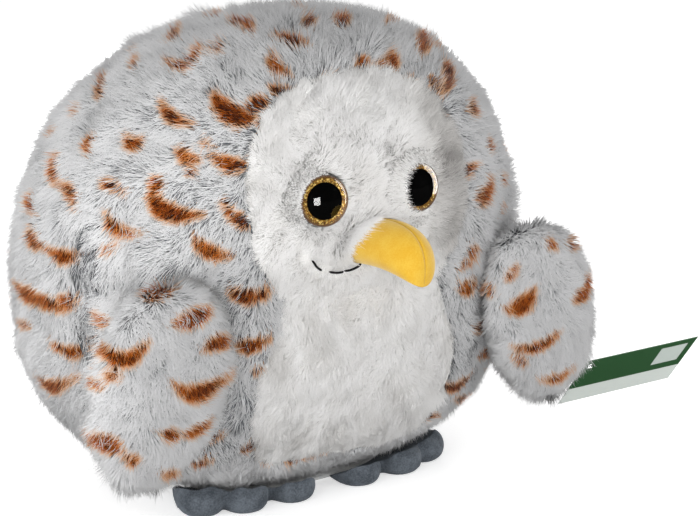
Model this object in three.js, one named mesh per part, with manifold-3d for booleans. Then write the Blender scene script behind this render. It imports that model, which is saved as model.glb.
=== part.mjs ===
// Plush owl hand warmer. Millimetres, +Z up, the face looks along -Y, the origin is the middle of
// the flat oval base. The owl's own right is the -X side.

import * as THREE from 'three';
import { mergeVertices } from 'three/addons/utils/BufferGeometryUtils.js';
import Module from 'manifold-3d';

const wasm = await Module();
wasm.setup();

// Clearances and allowances shared by all pieces.
const seatGap = 0.3;
const cutOverrun = 40;
const mergeDistance = 0.0005;

// Body: a stuffed form with an oval plan, fullest at its middle height, leaning forward at the top.
const bodyHalfWidth = 194;
const bodyHalfDepth = 142;
const bodyMiddleHeight = 154;
const bodyTopRise = 198;
const bodyLowerDrop = 160;
const bodyForwardLean = 33;
const bodyPlanExponent = 2.5;
const bodyUpperExponent = 2.3;
const bodyLowerExponent = 2.6;
const bodyLeanExponent = 1.6;
const bodyFine = { around: 32, rows: 18 };
const bodyCoarse = { around: 16, rows: 9 };
const coverThickness = 9;
const backingThickness = 1;
const chinCreaseDepth = 5;
const chinCreaseReach = 15;
const chinCreaseHalfSpan = 75;

// Oval base panel under the body.
const basePanelThickness = 3;

// White face and belly panels, as half outlines seen from the front.
const faceHalfWidth = 85;
const faceTopHeight = 312;
const waistHeight = 169;
const waistHalfWidth = 61;
const bellyHalfWidth = 81;
const bellyBottomHeight = 36;

// Hand tunnel from side to side, with its soft lining.
const tunnelHalfHeight = 45;
const tunnelHalfWidth = 13;
const tunnelHeight = 177;
const tunnelSetForward = 62;
const tunnelExponent = 3;
const liningThickness = 2.5;
const liningSetIn = 3;

// Safety eyes.
const eyeDiameter = 35;
const eyeHalfSpacing = 38;
const eyeHeight = 234.5;
const eyeOutwardTurn = 6 * Math.PI / 180;
const eyeUpwardTurn = 3 * Math.PI / 180;
const lensRimThickness = 2;
const lensDomeRise = 8.5;
const pupilDiameter = 22.5;
const irisThickness = 0.8;
const cupWall = 1.2;
const cupFloorThickness = 4;
const stemDiameter = 6;
const stemLength = 17;
const stemRibRise = 0.5;
const stemRibPitch = 2;
const washerDiameter = 28;
const washerThickness = 1.6;
const washerLipRise = 1.2;

// Beak: two side panels over a stuffed core, hooked down at the tip.
const beakRootDepth = 128;
const beakTipReach = 202;
const beakTipHeight = 184;
const beakRootTopHeight = 214;
const beakRootBottomHeight = 184;
const beakCrestReach = 178;
const beakCrestHeight = 230;
const beakBrowReach = 215;
const beakBrowHeight = 221;
const beakJawReach = 165;
const beakJawRise = 2;
const beakHalfWidth = 20;
const beakWall = 1.4;
const beakTaperExponent = 2.4;
const beakCrestNarrowingShare = 0.18;
const beakFine = { around: 14, rows: 10 };
const beakCoarse = { around: 10, rows: 7 };

// Wings: flat stuffed paddles that hang in front of the flanks.
const wingLength = 143;
const wingTopHeight = 195;
const wingHalfWidth = 50;
const wingHalfThickness = 22;
const wingTopSetOut = 147;
const wingTipSetOut = 168;
const wingSetForward = 129;
const wingCoverThickness = 6;
const wingSectionExponent = 2.3;
const wingThinningExponent = 0.75;
const wingFine = { around: 18, rows: 11 };
const wingCoarse = { around: 12, rows: 7 };
const wingHingeSetOut = 128;
const wingHingeTurn = 30 * Math.PI / 180;

// Feet: three stuffed toes each on a flat sole, sewn at the front of the base panel.
const toeHalfWidth = 19;
const toeHalfLength = 30;
const toeHalfHeight = 14.5;
const toeCentreHeight = 9.5;
const toeExponent = 2.4;
const innerToeTip = { setOut: 27, reach: 97, turn: -6 * Math.PI / 180 };
const middleToeTip = { setOut: 69, reach: 95, turn: 6 * Math.PI / 180 };
const outerToeTip = { setOut: 102, reach: 83, turn: 20 * Math.PI / 180 };
const footPadSetOut = 64;
const footPadReach = 62;
const footPadHalfWidth = 46;
const footPadHalfLength = 18;
const footFabricThickness = 1.5;
const footHingeReach = 30;
const toeFine = { around: 12, rows: 6 };
const toeCoarse = { around: 8, rows: 5 };

// Hang tag: a card held to the left wing's outer seam by a thin loop.
const tagLength = 120;
const tagWidth = 56;
const tagThickness = 0.6;
const tagRightEnd = 352;
const tagTopHeight = 62;
const tagTopReach = 100;
const tagTilt = 36 * Math.PI / 180;
const tagHoleRadius = 2.2;
const tagHoleMargin = 7;
const tagLoopRadius = 0.7;
const tagLoopSag = 9;
const tagToggleLength = 9;
const tagSeamHeight = 86;

// Finishes.
function finish(color, roughness, metalness = 0) {
  return new THREE.MeshStandardMaterial({ color, roughness, metalness });
}
const mottledFur = finish(0xd9d7d3, 0.95);
const whiteFur = finish(0xe8e6e2, 0.95);
const stuffingFibre = finish(0xf4f4f0, 1);
const liningPile = finish(0xdedcd8, 0.95);
const goldenPile = finish(0xf2bc2e, 0.85);
const greyPile = finish(0x3f454d, 0.85);
const clearPlastic = finish(0xf6f8f8, 0.05);
const glitterFilm = finish(0xa8823a, 0.35, 0.6);
const blackPlastic = finish(0x0b0b0c, 0.25);
const whitePlastic = finish(0xefefec, 0.4);
const printedCard = finish(0x2b5a2c, 0.55);

// A solid for joining and cutting, from a closed three.js geometry.
function solidOf(geometry) {
  const bare = geometry.clone();
  bare.deleteAttribute('normal');
  bare.deleteAttribute('uv');
  const merged = mergeVertices(bare, mergeDistance);
  return new wasm.Manifold(new wasm.Mesh({
    numProp: 3,
    vertProperties: new Float32Array(merged.attributes.position.array),
    triVerts: new Uint32Array(merged.index.array),
  }));
}

function geometryOf(solid) {
  const mesh = solid.getMesh();
  const geometry = new THREE.BufferGeometry();
  geometry.setAttribute('position', new THREE.BufferAttribute(new Float32Array(mesh.vertProperties), 3));
  geometry.setIndex(new THREE.BufferAttribute(new Uint32Array(mesh.triVerts), 1));
  geometry.computeVertexNormals();
  return geometry;
}

// A closed skin over a stack of rings, with one point at each end. Rings that turn the other way
// round are faced outwards again by the sign of the volume.
function loftedSolid(rings, startPole, endPole) {
  const around = rings[0].length;
  const points = [startPole, ...rings.flat(), endPole];
  const last = points.length - 1;
  const faces = [];
  for (let i = 0; i < around; i += 1) {
    const next = (i + 1) % around;
    faces.push([0, 1 + next, 1 + i]);
    for (let row = 0; row < rings.length - 1; row += 1) {
      const low = 1 + row * around;
      const high = low + around;
      faces.push([low + i, low + next, high + next]);
      faces.push([low + i, high + next, high + i]);
    }
    const top = 1 + (rings.length - 1) * around;
    faces.push([last, top + i, top + next]);
  }
  let volume = 0;
  for (const [a, b, c] of faces) {
    volume += points[a].dot(points[b].clone().cross(points[c]));
  }
  const index = volume < 0 ? faces.map(([a, b, c]) => [a, c, b]) : faces;
  const geometry = new THREE.BufferGeometry();
  const positions = points.flatMap((point) => [point.x, point.y, point.z]);
  geometry.setAttribute('position', new THREE.Float32BufferAttribute(positions, 3));
  geometry.setIndex(index.flat());
  return solidOf(geometry);
}

// A block given by its lowest and highest corners.
function blockSolid(low, high) {
  const size = new THREE.Vector3().subVectors(high, low);
  const block = new THREE.BoxGeometry(size.x, size.y, size.z);
  block.translate((low.x + high.x) / 2, (low.y + high.y) / 2, (low.z + high.z) / 2);
  return solidOf(block);
}

// Signed power: keeps the sign of a sine or cosine, so that an ellipse becomes a fuller oval.
function fuller(value, exponent) {
  return Math.sign(value) * Math.abs(value) ** (2 / exponent);
}

function ovalAt(turn, exponent) {
  return { across: fuller(Math.cos(turn), exponent), along: fuller(Math.sin(turn), exponent) };
}

// The body's form, taken in by inset all round. Between its middle and its top it leans forward,
// and a soft crease under the chin follows the seam of the face and belly panels.
function leanAt(height) {
  const climb = Math.max(0, (height - bodyMiddleHeight) / bodyTopRise);
  return bodyForwardLean * climb ** bodyLeanExponent;
}

function creaseAt(across, height) {
  const fromSeam = (height - waistHeight) / chinCreaseReach;
  const fromMiddle = across / chinCreaseHalfSpan;
  return chinCreaseDepth * Math.exp(-(fromSeam ** 2) - fromMiddle ** 4);
}

function bodyPoint(turn, latitude, inset) {
  const exponent = latitude > 0 ? bodyUpperExponent : bodyLowerExponent;
  const ring = fuller(Math.cos(latitude), exponent);
  const climb = fuller(Math.sin(latitude), exponent);
  const oval = ovalAt(turn, bodyPlanExponent);
  const reach = climb > 0 ? bodyTopRise - inset : bodyLowerDrop - inset;
  const x = (bodyHalfWidth - inset) * ring * oval.across;
  const z = bodyMiddleHeight + reach * climb;
  const front = oval.along < 0 ? creaseAt(x, z) : 0;
  const y = (bodyHalfDepth - inset) * ring * oval.along + front - leanAt(z);
  return new THREE.Vector3(x, y, z);
}

function bodyForm(inset, { around, rows }) {
  const rings = [];
  for (let row = 1; row < rows; row += 1) {
    const latitude = Math.PI * (row / rows - 0.5);
    const ring = [];
    for (let i = 0; i < around; i += 1) {
      ring.push(bodyPoint(i / around * 2 * Math.PI, latitude, inset));
    }
    rings.push(ring);
  }
  return loftedSolid(rings, bodyPoint(0, -Math.PI / 2, inset), bodyPoint(0, Math.PI / 2, inset));
}

// How far the front of the body reaches at a place seen from the front.
function bodyFrontReach(across, height) {
  const above = height > bodyMiddleHeight;
  const climb = Math.abs(height - bodyMiddleHeight) / (above ? bodyTopRise : bodyLowerDrop);
  const exponent = above ? bodyUpperExponent : bodyLowerExponent;
  const ring = (1 - climb ** exponent) ** (1 / exponent);
  const depth = (ring ** bodyPlanExponent - (across / bodyHalfWidth) ** bodyPlanExponent)
    ** (1 / bodyPlanExponent);
  return bodyHalfDepth * depth + leanAt(height) - creaseAt(across, height);
}

const outerForm = bodyForm(0, bodyFine);
const clearForm = bodyForm(-seatGap, bodyFine);
const linedForm = bodyForm(coverThickness, bodyCoarse);
const stuffedForm = bodyForm(coverThickness + seatGap, bodyCoarse);

// Everything above a height.
function aboveHeight(height) {
  const span = bodyHalfWidth + cutOverrun;
  const top = bodyMiddleHeight + bodyTopRise + cutOverrun;
  return blockSolid(new THREE.Vector3(-span, -span, height), new THREE.Vector3(span, span, top));
}

// A prism along Y from an outline drawn in X and Z, from the middle of the body to past its front.
function frontPrism(outline) {
  const shape = new THREE.Shape(outline);
  const depth = bodyHalfDepth + bodyForwardLean + cutOverrun;
  const prism = new THREE.ExtrudeGeometry(shape, { depth, bevelEnabled: false, steps: 1 });
  prism.rotateX(Math.PI / 2);
  return solidOf(prism);
}

// Moves each point of a closed outline inwards, square to its neighbours' line.
function takenIn(outline, distance) {
  return outline.map((point, i) => {
    const before = outline[(i + outline.length - 1) % outline.length];
    const after = outline[(i + 1) % outline.length];
    const along = new THREE.Vector2().subVectors(after, before).normalize();
    return new THREE.Vector2(point.x - along.y * distance, point.y + along.x * distance);
  });
}

// A closed outline, counter-clockwise, from the points of its right half listed bottom to top.
function mirroredOutline(rightHalf, steps) {
  const right = new THREE.SplineCurve(rightHalf).getPoints(steps);
  const left = right.map((point) => new THREE.Vector2(-point.x, point.y)).reverse();
  const inner = left.filter((point) => Math.abs(point.x) > seatGap);
  return [...right, ...inner];
}

// Face panel: width shares of faceHalfWidth against height shares from the waist to the top.
const faceOutlineShares = [
  [0.95, 0.2], [1, 0.36], [1, 0.52], [0.96, 0.66], [0.86, 0.78], [0.7, 0.88], [0.42, 0.96], [0, 1],
];
const faceRise = faceTopHeight - waistHeight;
const faceRightHalf = [
  new THREE.Vector2(waistHalfWidth, waistHeight),
  ...faceOutlineShares.map(([wide, high]) => (
    new THREE.Vector2(wide * faceHalfWidth, waistHeight + high * faceRise))),
];

// Belly panel: width shares of bellyHalfWidth against height shares from its bottom to the waist.
const bellyOutlineShares = [
  [0, 0], [0.5, 0.02], [0.86, 0.12], [1, 0.34], [1, 0.52], [0.94, 0.68], [0.84, 0.84],
];
const bellyRise = waistHeight - bellyBottomHeight;
const bellyRightHalf = [
  ...bellyOutlineShares.map(([wide, high]) => (
    new THREE.Vector2(wide * bellyHalfWidth, bellyBottomHeight + high * bellyRise))),
  new THREE.Vector2(waistHalfWidth, waistHeight),
];
const panelSteps = 10;
const faceOutline = mirroredOutline(faceRightHalf, panelSteps);
const bellyOutline = mirroredOutline(bellyRightHalf, panelSteps);
const facePrism = frontPrism(takenIn(faceOutline, seatGap / 2));
const bellyPrism = frontPrism(takenIn(bellyOutline, seatGap / 2));
const openingPrism = frontPrism(takenIn(faceOutline, -seatGap / 2))
  .add(frontPrism(takenIn(bellyOutline, -seatGap / 2)));

// An oval bar along X through the body, for the hand tunnel, its lining and their holes.
function tunnelBar(grow) {
  const outline = [];
  const sides = 16;
  for (let i = 0; i < sides; i += 1) {
    const oval = ovalAt(i / sides * 2 * Math.PI, tunnelExponent);
    outline.push(new THREE.Vector2(
      oval.across * (tunnelHalfWidth + grow),
      oval.along * (tunnelHalfHeight + grow),
    ));
  }
  const depth = 2 * (bodyHalfWidth + cutOverrun);
  const bar = new THREE.ExtrudeGeometry(new THREE.Shape(outline), { depth, bevelEnabled: false, steps: 1 });
  bar.translate(0, 0, -depth / 2);
  bar.rotateX(Math.PI / 2);
  bar.rotateZ(Math.PI / 2);
  bar.translate(0, -tunnelSetForward, tunnelHeight);
  return solidOf(bar);
}

const sleeveHole = tunnelBar(liningThickness + seatGap);
const muffLining = tunnelBar(liningThickness)
  .subtract(tunnelBar(0))
  .intersect(bodyForm(liningSetIn, bodyFine));

// Base panel: a slice of the form at the table; the cover and stuffing start just above it.
const basePanel = outerForm.intersect(aboveHeight(0)).subtract(aboveHeight(basePanelThickness));
const upperBody = aboveHeight(basePanelThickness + seatGap);
const coverShell = outerForm.subtract(linedForm).intersect(upperBody);

// Safety eye, drawn along its own axis: y is 0 behind the lens and grows towards the viewer.
const eyeSides = 28;
const fittingSides = 20;
const eyeRadius = eyeDiameter / 2;
const irisTop = -seatGap;
const cupFloorTop = irisTop - irisThickness - seatGap;
const cupBottom = cupFloorTop - cupFloorThickness;
const washerTop = cupBottom - seatGap - backingThickness - seatGap;
const eyeSeatDepth = coverThickness - backingThickness - seatGap + cupBottom;

function turned(profile, segments) {
  const points = profile.map(([radius, level]) => new THREE.Vector2(radius, level));
  return new THREE.LatheGeometry(points, segments);
}

function lensGeometry() {
  const dome = [];
  const steps = 5;
  for (let i = 0; i <= steps; i += 1) {
    const angle = i / steps * Math.PI / 2;
    dome.push([eyeRadius * Math.cos(angle), lensRimThickness + lensDomeRise * Math.sin(angle)]);
  }
  dome[steps][0] = 0;
  return turned([[0, 0], [eyeRadius, 0], ...dome], eyeSides);
}

function irisGeometry() {
  const outer = eyeRadius - cupWall - seatGap;
  const inner = pupilDiameter / 2 + seatGap;
  const bottom = irisTop - irisThickness;
  const edge = [[outer, bottom], [outer, irisTop], [inner, irisTop]];
  return turned([[inner, bottom], ...edge, [inner, bottom]], eyeSides);
}

function pupilGeometry() {
  const radius = pupilDiameter / 2;
  const bottom = irisTop - irisThickness;
  return turned([[0, bottom], [radius, bottom], [radius, irisTop], [0, irisTop]], eyeSides);
}

// Rear cup with a ribbed stem: the ribs are rings that the washer's teeth catch.
function cupGeometry() {
  const stem = [];
  const stemRadius = stemDiameter / 2;
  const ribs = Math.floor((stemLength - 2 * stemRibPitch) / stemRibPitch / 2);
  for (let i = 0; i < ribs; i += 1) {
    const level = cupBottom - stemLength + (2 * i + 1) * stemRibPitch;
    stem.push([stemRadius - stemRibRise, level - stemRibPitch / 2]);
    stem.push([stemRadius, level]);
    stem.push([stemRadius - stemRibRise, level + stemRibPitch]);
  }
  return turned([
    [0, cupBottom - stemLength],
    [stemRadius - 2 * stemRibRise, cupBottom - stemLength],
    ...stem,
    [stemRadius - stemRibRise, cupBottom],
    [eyeRadius - cupWall, cupBottom],
    [eyeRadius, cupBottom + cupWall],
    [eyeRadius, irisTop],
    [eyeRadius - cupWall, irisTop],
    [eyeRadius - cupWall, cupFloorTop],
    [0, cupFloorTop],
  ], fittingSides);
}

// Lock washer: a dished disc with a raised lip round its hole, gripping the stem.
function washerGeometry() {
  const inner = stemDiameter / 2 + seatGap;
  const lip = inner + washerLipRise;
  const bottom = washerTop - washerThickness;
  return turned([
    [inner, bottom - washerLipRise],
    [lip, bottom - washerLipRise],
    [lip + washerLipRise, bottom],
    [washerDiameter / 2, bottom],
    [washerDiameter / 2, washerTop],
    [inner, washerTop],
    [inner, bottom - washerLipRise],
  ], fittingSides);
}

// Where each eye sits: its axis leaves the face turned a little outwards and upwards.
function eyePlace(side) {
  const place = new THREE.Group();
  const axis = new THREE.Vector3(
    side * Math.sin(eyeOutwardTurn),
    -Math.cos(eyeOutwardTurn) * Math.cos(eyeUpwardTurn),
    Math.sin(eyeUpwardTurn),
  ).normalize();
  place.quaternion.setFromUnitVectors(new THREE.Vector3(0, 1, 0), axis);
  const reach = bodyFrontReach(eyeHalfSpacing, eyeHeight);
  place.position.set(side * eyeHalfSpacing, -reach, eyeHeight).addScaledVector(axis, -eyeSeatDepth);
  place.updateMatrixWorld(true);
  return place;
}

// A cylinder along an eye's axis between two levels, for its socket and the stuffing's pocket.
function eyeCutter(place, radius, low, high) {
  const cylinder = new THREE.CylinderGeometry(radius, radius, high - low, fittingSides);
  cylinder.translate(0, (low + high) / 2, 0);
  cylinder.applyMatrix4(place.matrixWorld);
  return solidOf(cylinder);
}

// Beak: each section hangs between a crest line and a jaw line, and its width closes at the tip.
const beakCrest = new THREE.CubicBezierCurve(
  new THREE.Vector2(beakRootDepth, beakRootTopHeight),
  new THREE.Vector2(beakCrestReach, beakCrestHeight),
  new THREE.Vector2(beakBrowReach, beakBrowHeight),
  new THREE.Vector2(beakTipReach, beakTipHeight),
);
const beakJaw = new THREE.QuadraticBezierCurve(
  new THREE.Vector2(beakRootDepth, beakRootBottomHeight),
  new THREE.Vector2(beakJawReach, beakRootBottomHeight + beakJawRise),
  new THREE.Vector2(beakTipReach, beakTipHeight),
);

function beakForm(inset, { around, rows }) {
  const rings = [];
  const middles = [];
  for (let row = 0; row <= rows; row += 1) {
    const share = row / rows * (1 - inset / (beakTipReach - beakRootDepth));
    const top = beakCrest.getPoint(share);
    const bottom = beakJaw.getPoint(share);
    const middle = top.clone().add(bottom).multiplyScalar(0.5);
    const half = top.clone().sub(bottom).multiplyScalar(0.5);
    half.setLength(Math.max(half.length() - inset, inset));
    const width = Math.max(beakHalfWidth * Math.sqrt(1 - share ** beakTaperExponent) - inset, inset);
    middles.push(new THREE.Vector3(0, -middle.x, middle.y));
    const ring = [];
    for (let i = 0; i < around; i += 1) {
      const turn = (i + 0.5) / around * 2 * Math.PI;
      const rise = Math.cos(turn);
      const side = Math.sin(turn) * (1 - beakCrestNarrowingShare * rise);
      ring.push(new THREE.Vector3(width * side, -middle.x - half.x * rise, middle.y + half.y * rise));
    }
    rings.push(ring);
  }
  return loftedSolid(rings.slice(0, rows), middles[0], middles[rows]);
}

// Wing: a teardrop outline as half-width shares against length shares, from the top down.
const wingOutlineShares = [
  [0, 0], [0.38, 0.02], [0.62, 0.07], [0.8, 0.16], [0.92, 0.27], [0.99, 0.4], [1, 0.52],
  [0.95, 0.64], [0.85, 0.75], [0.7, 0.85], [0.48, 0.94], [0.25, 0.985], [0, 1],
];

function wingForm(side, inset, { around, rows }) {
  const outline = new THREE.SplineCurve(
    wingOutlineShares.map(([wide, down]) => new THREE.Vector2(wide, down)));
  const rings = [];
  const wingPoint = (wide, down, turn) => {
    const oval = ovalAt(turn, wingSectionExponent);
    const half = Math.max(wingHalfWidth * wide - inset, 0);
    const thick = Math.max(wingHalfThickness * wide ** wingThinningExponent - inset, 0);
    const middle = THREE.MathUtils.lerp(wingTopSetOut, wingTipSetOut, down);
    return new THREE.Vector3(
      side * (middle + half * oval.across),
      -wingSetForward + thick * oval.along,
      wingTopHeight - inset - (wingLength - 2 * inset) * down,
    );
  };
  for (let row = 1; row < rows; row += 1) {
    const point = outline.getPoint(row / rows);
    const ring = [];
    for (let i = 0; i < around; i += 1) {
      ring.push(wingPoint(point.x, point.y, i / around * 2 * Math.PI));
    }
    rings.push(ring);
  }
  return loftedSolid(rings, wingPoint(0, 0, 0), wingPoint(0, 1, 0));
}

// Foot: three toes and the pad that joins them behind.
function toeSolid(side, toe, halfWidth, halfLength, inset, { around, rows }) {
  const heading = new THREE.Vector3(Math.sin(toe.turn), -Math.cos(toe.turn), 0);
  const across = new THREE.Vector3(Math.cos(toe.turn), Math.sin(toe.turn), 0);
  const centre = new THREE.Vector3(toe.setOut, -toe.reach, toeCentreHeight)
    .addScaledVector(heading, -halfLength);
  const pointAt = (turn, latitude) => {
    const ring = fuller(Math.cos(latitude), toeExponent);
    const oval = ovalAt(turn, toeExponent);
    const point = centre.clone()
      .addScaledVector(heading, (halfLength - inset) * ring * oval.across)
      .addScaledVector(across, (halfWidth - inset) * ring * oval.along);
    point.z += (toeHalfHeight - inset) * fuller(Math.sin(latitude), toeExponent);
    point.x *= side;
    return point;
  };
  const rings = [];
  for (let row = 1; row < rows; row += 1) {
    const ring = [];
    for (let i = 0; i < around; i += 1) {
      ring.push(pointAt(i / around * 2 * Math.PI, Math.PI * (row / rows - 0.5)));
    }
    rings.push(ring);
  }
  return loftedSolid(rings, pointAt(0, -Math.PI / 2), pointAt(0, Math.PI / 2));
}

function footForm(side, inset, facets) {
  const pad = { setOut: footPadSetOut, reach: footPadReach + footPadHalfLength, turn: middleToeTip.turn };
  return [innerToeTip, middleToeTip, outerToeTip]
    .map((toe) => toeSolid(side, toe, toeHalfWidth, toeHalfLength, inset, facets))
    .reduce((joined, toe) => joined.add(toe))
    .add(toeSolid(side, pad, footPadHalfWidth, footPadHalfLength, inset, facets));
}

// The scene graph: the body carries everything, and each limb is a group at its seam.
const owl = new THREE.Group();

function addPart(parent, name, solid, material) {
  const geometry = solid instanceof THREE.BufferGeometry ? solid : geometryOf(solid);
  const inverse = parent.matrixWorld.clone().invert();
  if (!(solid instanceof THREE.BufferGeometry)) {
    geometry.applyMatrix4(inverse);
  }
  const mesh = new THREE.Mesh(geometry, material);
  mesh.name = name;
  parent.add(mesh);
  return mesh;
}

function limbGroup(x, y, z, turn = 0) {
  const group = new THREE.Group();
  group.position.set(x, y, z);
  group.rotation.z = turn;
  owl.add(group);
  group.updateMatrixWorld(true);
  return group;
}

// Eyes, with their sockets and pockets gathered for the face panel and the stuffing.
let facePanel = coverShell.intersect(facePrism);
let bodyStuffing = stuffedForm.intersect(upperBody).subtract(sleeveHole);
for (const [side, name] of [[-1, 'right'], [1, 'left']]) {
  const place = eyePlace(side);
  owl.add(place);
  addPart(place, `${name}_eye_lens`, lensGeometry(), clearPlastic);
  addPart(place, `${name}_eye_iris`, irisGeometry(), glitterFilm);
  addPart(place, `${name}_eye_pupil`, pupilGeometry(), blackPlastic);
  addPart(place, `${name}_eye_cup`, cupGeometry(), blackPlastic);
  addPart(place, `${name}_eye_washer`, washerGeometry(), whitePlastic);
  const socket = eyeCutter(place, eyeRadius + seatGap, cupBottom - seatGap, coverThickness + cutOverrun);
  const hole = eyeCutter(place, stemDiameter / 2 + seatGap, cupBottom - cutOverrun, cupBottom);
  const seat = eyeCutter(place, washerDiameter / 2 + seatGap, cupBottom - cutOverrun, washerTop + seatGap);
  const washerBottom = washerTop - washerThickness - washerLipRise;
  const pocket = eyeCutter(place, washerDiameter / 2 + seatGap, washerBottom - seatGap, coverThickness);
  const stemEnd = cupBottom - stemLength - seatGap;
  const stemPocket = eyeCutter(place, stemDiameter / 2 + seatGap, stemEnd, washerBottom);
  facePanel = facePanel.subtract(socket).subtract(hole).subtract(seat);
  bodyStuffing = bodyStuffing.subtract(pocket).subtract(stemPocket);
}

addPart(owl, 'body_stuffing', bodyStuffing, stuffingFibre);
addPart(owl, 'back_cover', coverShell.subtract(openingPrism).subtract(sleeveHole), mottledFur);
addPart(owl, 'face_panel', facePanel, whiteFur);
addPart(owl, 'belly_panel', coverShell.intersect(bellyPrism), whiteFur);
addPart(owl, 'base_panel', basePanel, mottledFur);
addPart(owl, 'muff_lining', muffLining, liningPile);

// Beak: two mirrored panels with a core between them, trimmed to the face.
const beakOuter = beakForm(0, beakFine).subtract(clearForm);
const beakHollow = beakForm(beakWall, beakCoarse);
const beakCore = beakForm(beakWall + seatGap, beakCoarse).subtract(clearForm);
const beakSpan = beakHalfWidth + cutOverrun;
const beakLow = beakRootBottomHeight - cutOverrun;
const beakHigh = beakCrestHeight + cutOverrun;
for (const [side, name] of [[-1, 'right'], [1, 'left']]) {
  const near = side * seatGap / 2;
  const far = side * beakSpan;
  const half = blockSolid(
    new THREE.Vector3(Math.min(near, far), -beakTipReach - cutOverrun, beakLow),
    new THREE.Vector3(Math.max(near, far), 0, beakHigh),
  );
  addPart(owl, `beak_${name}_panel`, beakOuter.subtract(beakHollow).intersect(half), goldenPile);
}
addPart(owl, 'beak_stuffing', beakCore, stuffingFibre);

// Wings: front and rear panels round a core, each trimmed to the body.
const wingHingeReach = bodyFrontReach(wingHingeSetOut, wingTopHeight);
for (const [side, name] of [[-1, 'right'], [1, 'left']]) {
  const turn = side * wingHingeTurn;
  const group = limbGroup(side * wingHingeSetOut, -wingHingeReach, wingTopHeight, turn);
  const shell = wingForm(side, 0, wingFine)
    .subtract(clearForm)
    .subtract(wingForm(side, wingCoverThickness, wingCoarse));
  const span = bodyHalfWidth + wingHalfWidth + cutOverrun;
  const front = blockSolid(
    new THREE.Vector3(-span, -wingSetForward - cutOverrun, -cutOverrun),
    new THREE.Vector3(span, -wingSetForward - seatGap / 2, wingTopHeight + cutOverrun),
  );
  const rear = blockSolid(
    new THREE.Vector3(-span, -wingSetForward + seatGap / 2, -cutOverrun),
    new THREE.Vector3(span, 0, wingTopHeight + cutOverrun),
  );
  const core = wingForm(side, wingCoverThickness + seatGap, wingCoarse)
    .subtract(bodyForm(-seatGap - wingCoverThickness, bodyFine));
  addPart(group, `${name}_wing_front_panel`, shell.intersect(front), mottledFur);
  addPart(group, `${name}_wing_rear_panel`, shell.intersect(rear), mottledFur);
  addPart(group, `${name}_wing_stuffing`, core, stuffingFibre);
}

// Feet: a sole, an upper and a core, trimmed to the underside of the body.
for (const [side, name] of [[-1, 'right'], [1, 'left']]) {
  const group = limbGroup(side * footPadSetOut, -footHingeReach, 0);
  const whole = footForm(side, 0, toeFine).subtract(clearForm);
  const hollow = footForm(side, footFabricThickness, toeCoarse)
    .subtract(bodyForm(-seatGap - footFabricThickness, bodyFine));
  const core = footForm(side, footFabricThickness + seatGap, toeCoarse)
    .subtract(bodyForm(-2 * seatGap - footFabricThickness, bodyFine))
    .intersect(aboveHeight(footFabricThickness + seatGap));
  const sole = whole.intersect(aboveHeight(0)).subtract(aboveHeight(footFabricThickness));
  const upper = whole.intersect(aboveHeight(footFabricThickness + seatGap)).subtract(hollow);
  addPart(group, `${name}_foot_upper`, upper, greyPile);
  addPart(group, `${name}_foot_sole`, sole, greyPile);
  addPart(group, `${name}_foot_stuffing`, core, stuffingFibre);
}

// Hang tag: the card turns on a thin plastic loop that leaves the left wing's outer seam, passes
// through the card's hole and ends in a toggle that lies across the front of the card.
const tagHole = new THREE.Vector3(
  tagRightEnd - tagLength + tagHoleMargin,
  -tagTopReach + tagHoleMargin * Math.sin(tagTilt),
  tagTopHeight - tagHoleMargin * Math.cos(tagTilt),
);
const cardNormal = new THREE.Vector3(0, Math.cos(tagTilt), Math.sin(tagTilt));

function tagCard() {
  const left = -tagHoleMargin;
  const right = tagLength - tagHoleMargin;
  const low = tagHoleMargin - tagWidth;
  const outline = new THREE.Shape();
  outline.moveTo(left, low);
  outline.lineTo(right, low);
  outline.lineTo(right, tagHoleMargin);
  outline.lineTo(left, tagHoleMargin);
  outline.closePath();
  const hole = new THREE.Path();
  hole.absarc(0, 0, tagHoleRadius, 0, 2 * Math.PI, true);
  outline.holes.push(hole);
  const card = new THREE.ExtrudeGeometry(outline, {
    depth: tagThickness,
    bevelEnabled: false,
    curveSegments: 12,
  });
  card.rotateX(Math.PI / 2);
  card.translate(0, tagThickness / 2, 0);
  return card;
}

// Where the loop leaves the wing: just clear of the outer edge at the seam's height.
function wingEdgeAt(height) {
  const down = (wingTopHeight - height) / wingLength;
  const outline = new THREE.SplineCurve(
    wingOutlineShares.map(([wide, along]) => new THREE.Vector2(wide, along)));
  const wide = outline.getPoints(bodyFine.around)
    .reduce((best, point) => (Math.abs(point.y - down) < Math.abs(best.y - down) ? point : best)).x;
  const middle = THREE.MathUtils.lerp(wingTopSetOut, wingTipSetOut, down);
  return new THREE.Vector3(middle + wingHalfWidth * wide, -wingSetForward, height);
}

function tagLoop() {
  const start = wingEdgeAt(tagSeamHeight);
  const behind = tagHole.clone().addScaledVector(cardNormal, tagLoopSag);
  const front = tagHole.clone()
    .addScaledVector(cardNormal, -tagThickness / 2 - seatGap - tagLoopRadius);
  const middle = start.clone().lerp(behind, 0.5);
  middle.z -= tagLoopSag / 2;
  const path = new THREE.CatmullRomCurve3([start, middle, behind, tagHole, front]);
  const section = new THREE.Shape();
  section.absarc(0, 0, tagLoopRadius, 0, 2 * Math.PI, false);
  const loop = new THREE.ExtrudeGeometry(section, { extrudePath: path, steps: 20, curveSegments: 6 });
  const toggle = new THREE.CylinderGeometry(tagLoopRadius, tagLoopRadius, tagToggleLength, 8);
  toggle.rotateZ(Math.PI / 2);
  toggle.translate(front.x, front.y, front.z);
  return solidOf(loop).add(solidOf(toggle));
}

const leftWing = owl.getObjectByName('left_wing_stuffing').parent;
const wingClearance = wingForm(1, -seatGap, wingFine);
addPart(leftWing, 'tag_loop', tagLoop().subtract(wingClearance), clearPlastic);
const tagGroup = new THREE.Group();
tagGroup.position.copy(tagHole);
tagGroup.rotation.x = tagTilt;
leftWing.attach(tagGroup);
addPart(tagGroup, 'hang_tag', tagCard(), printedCard);

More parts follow.
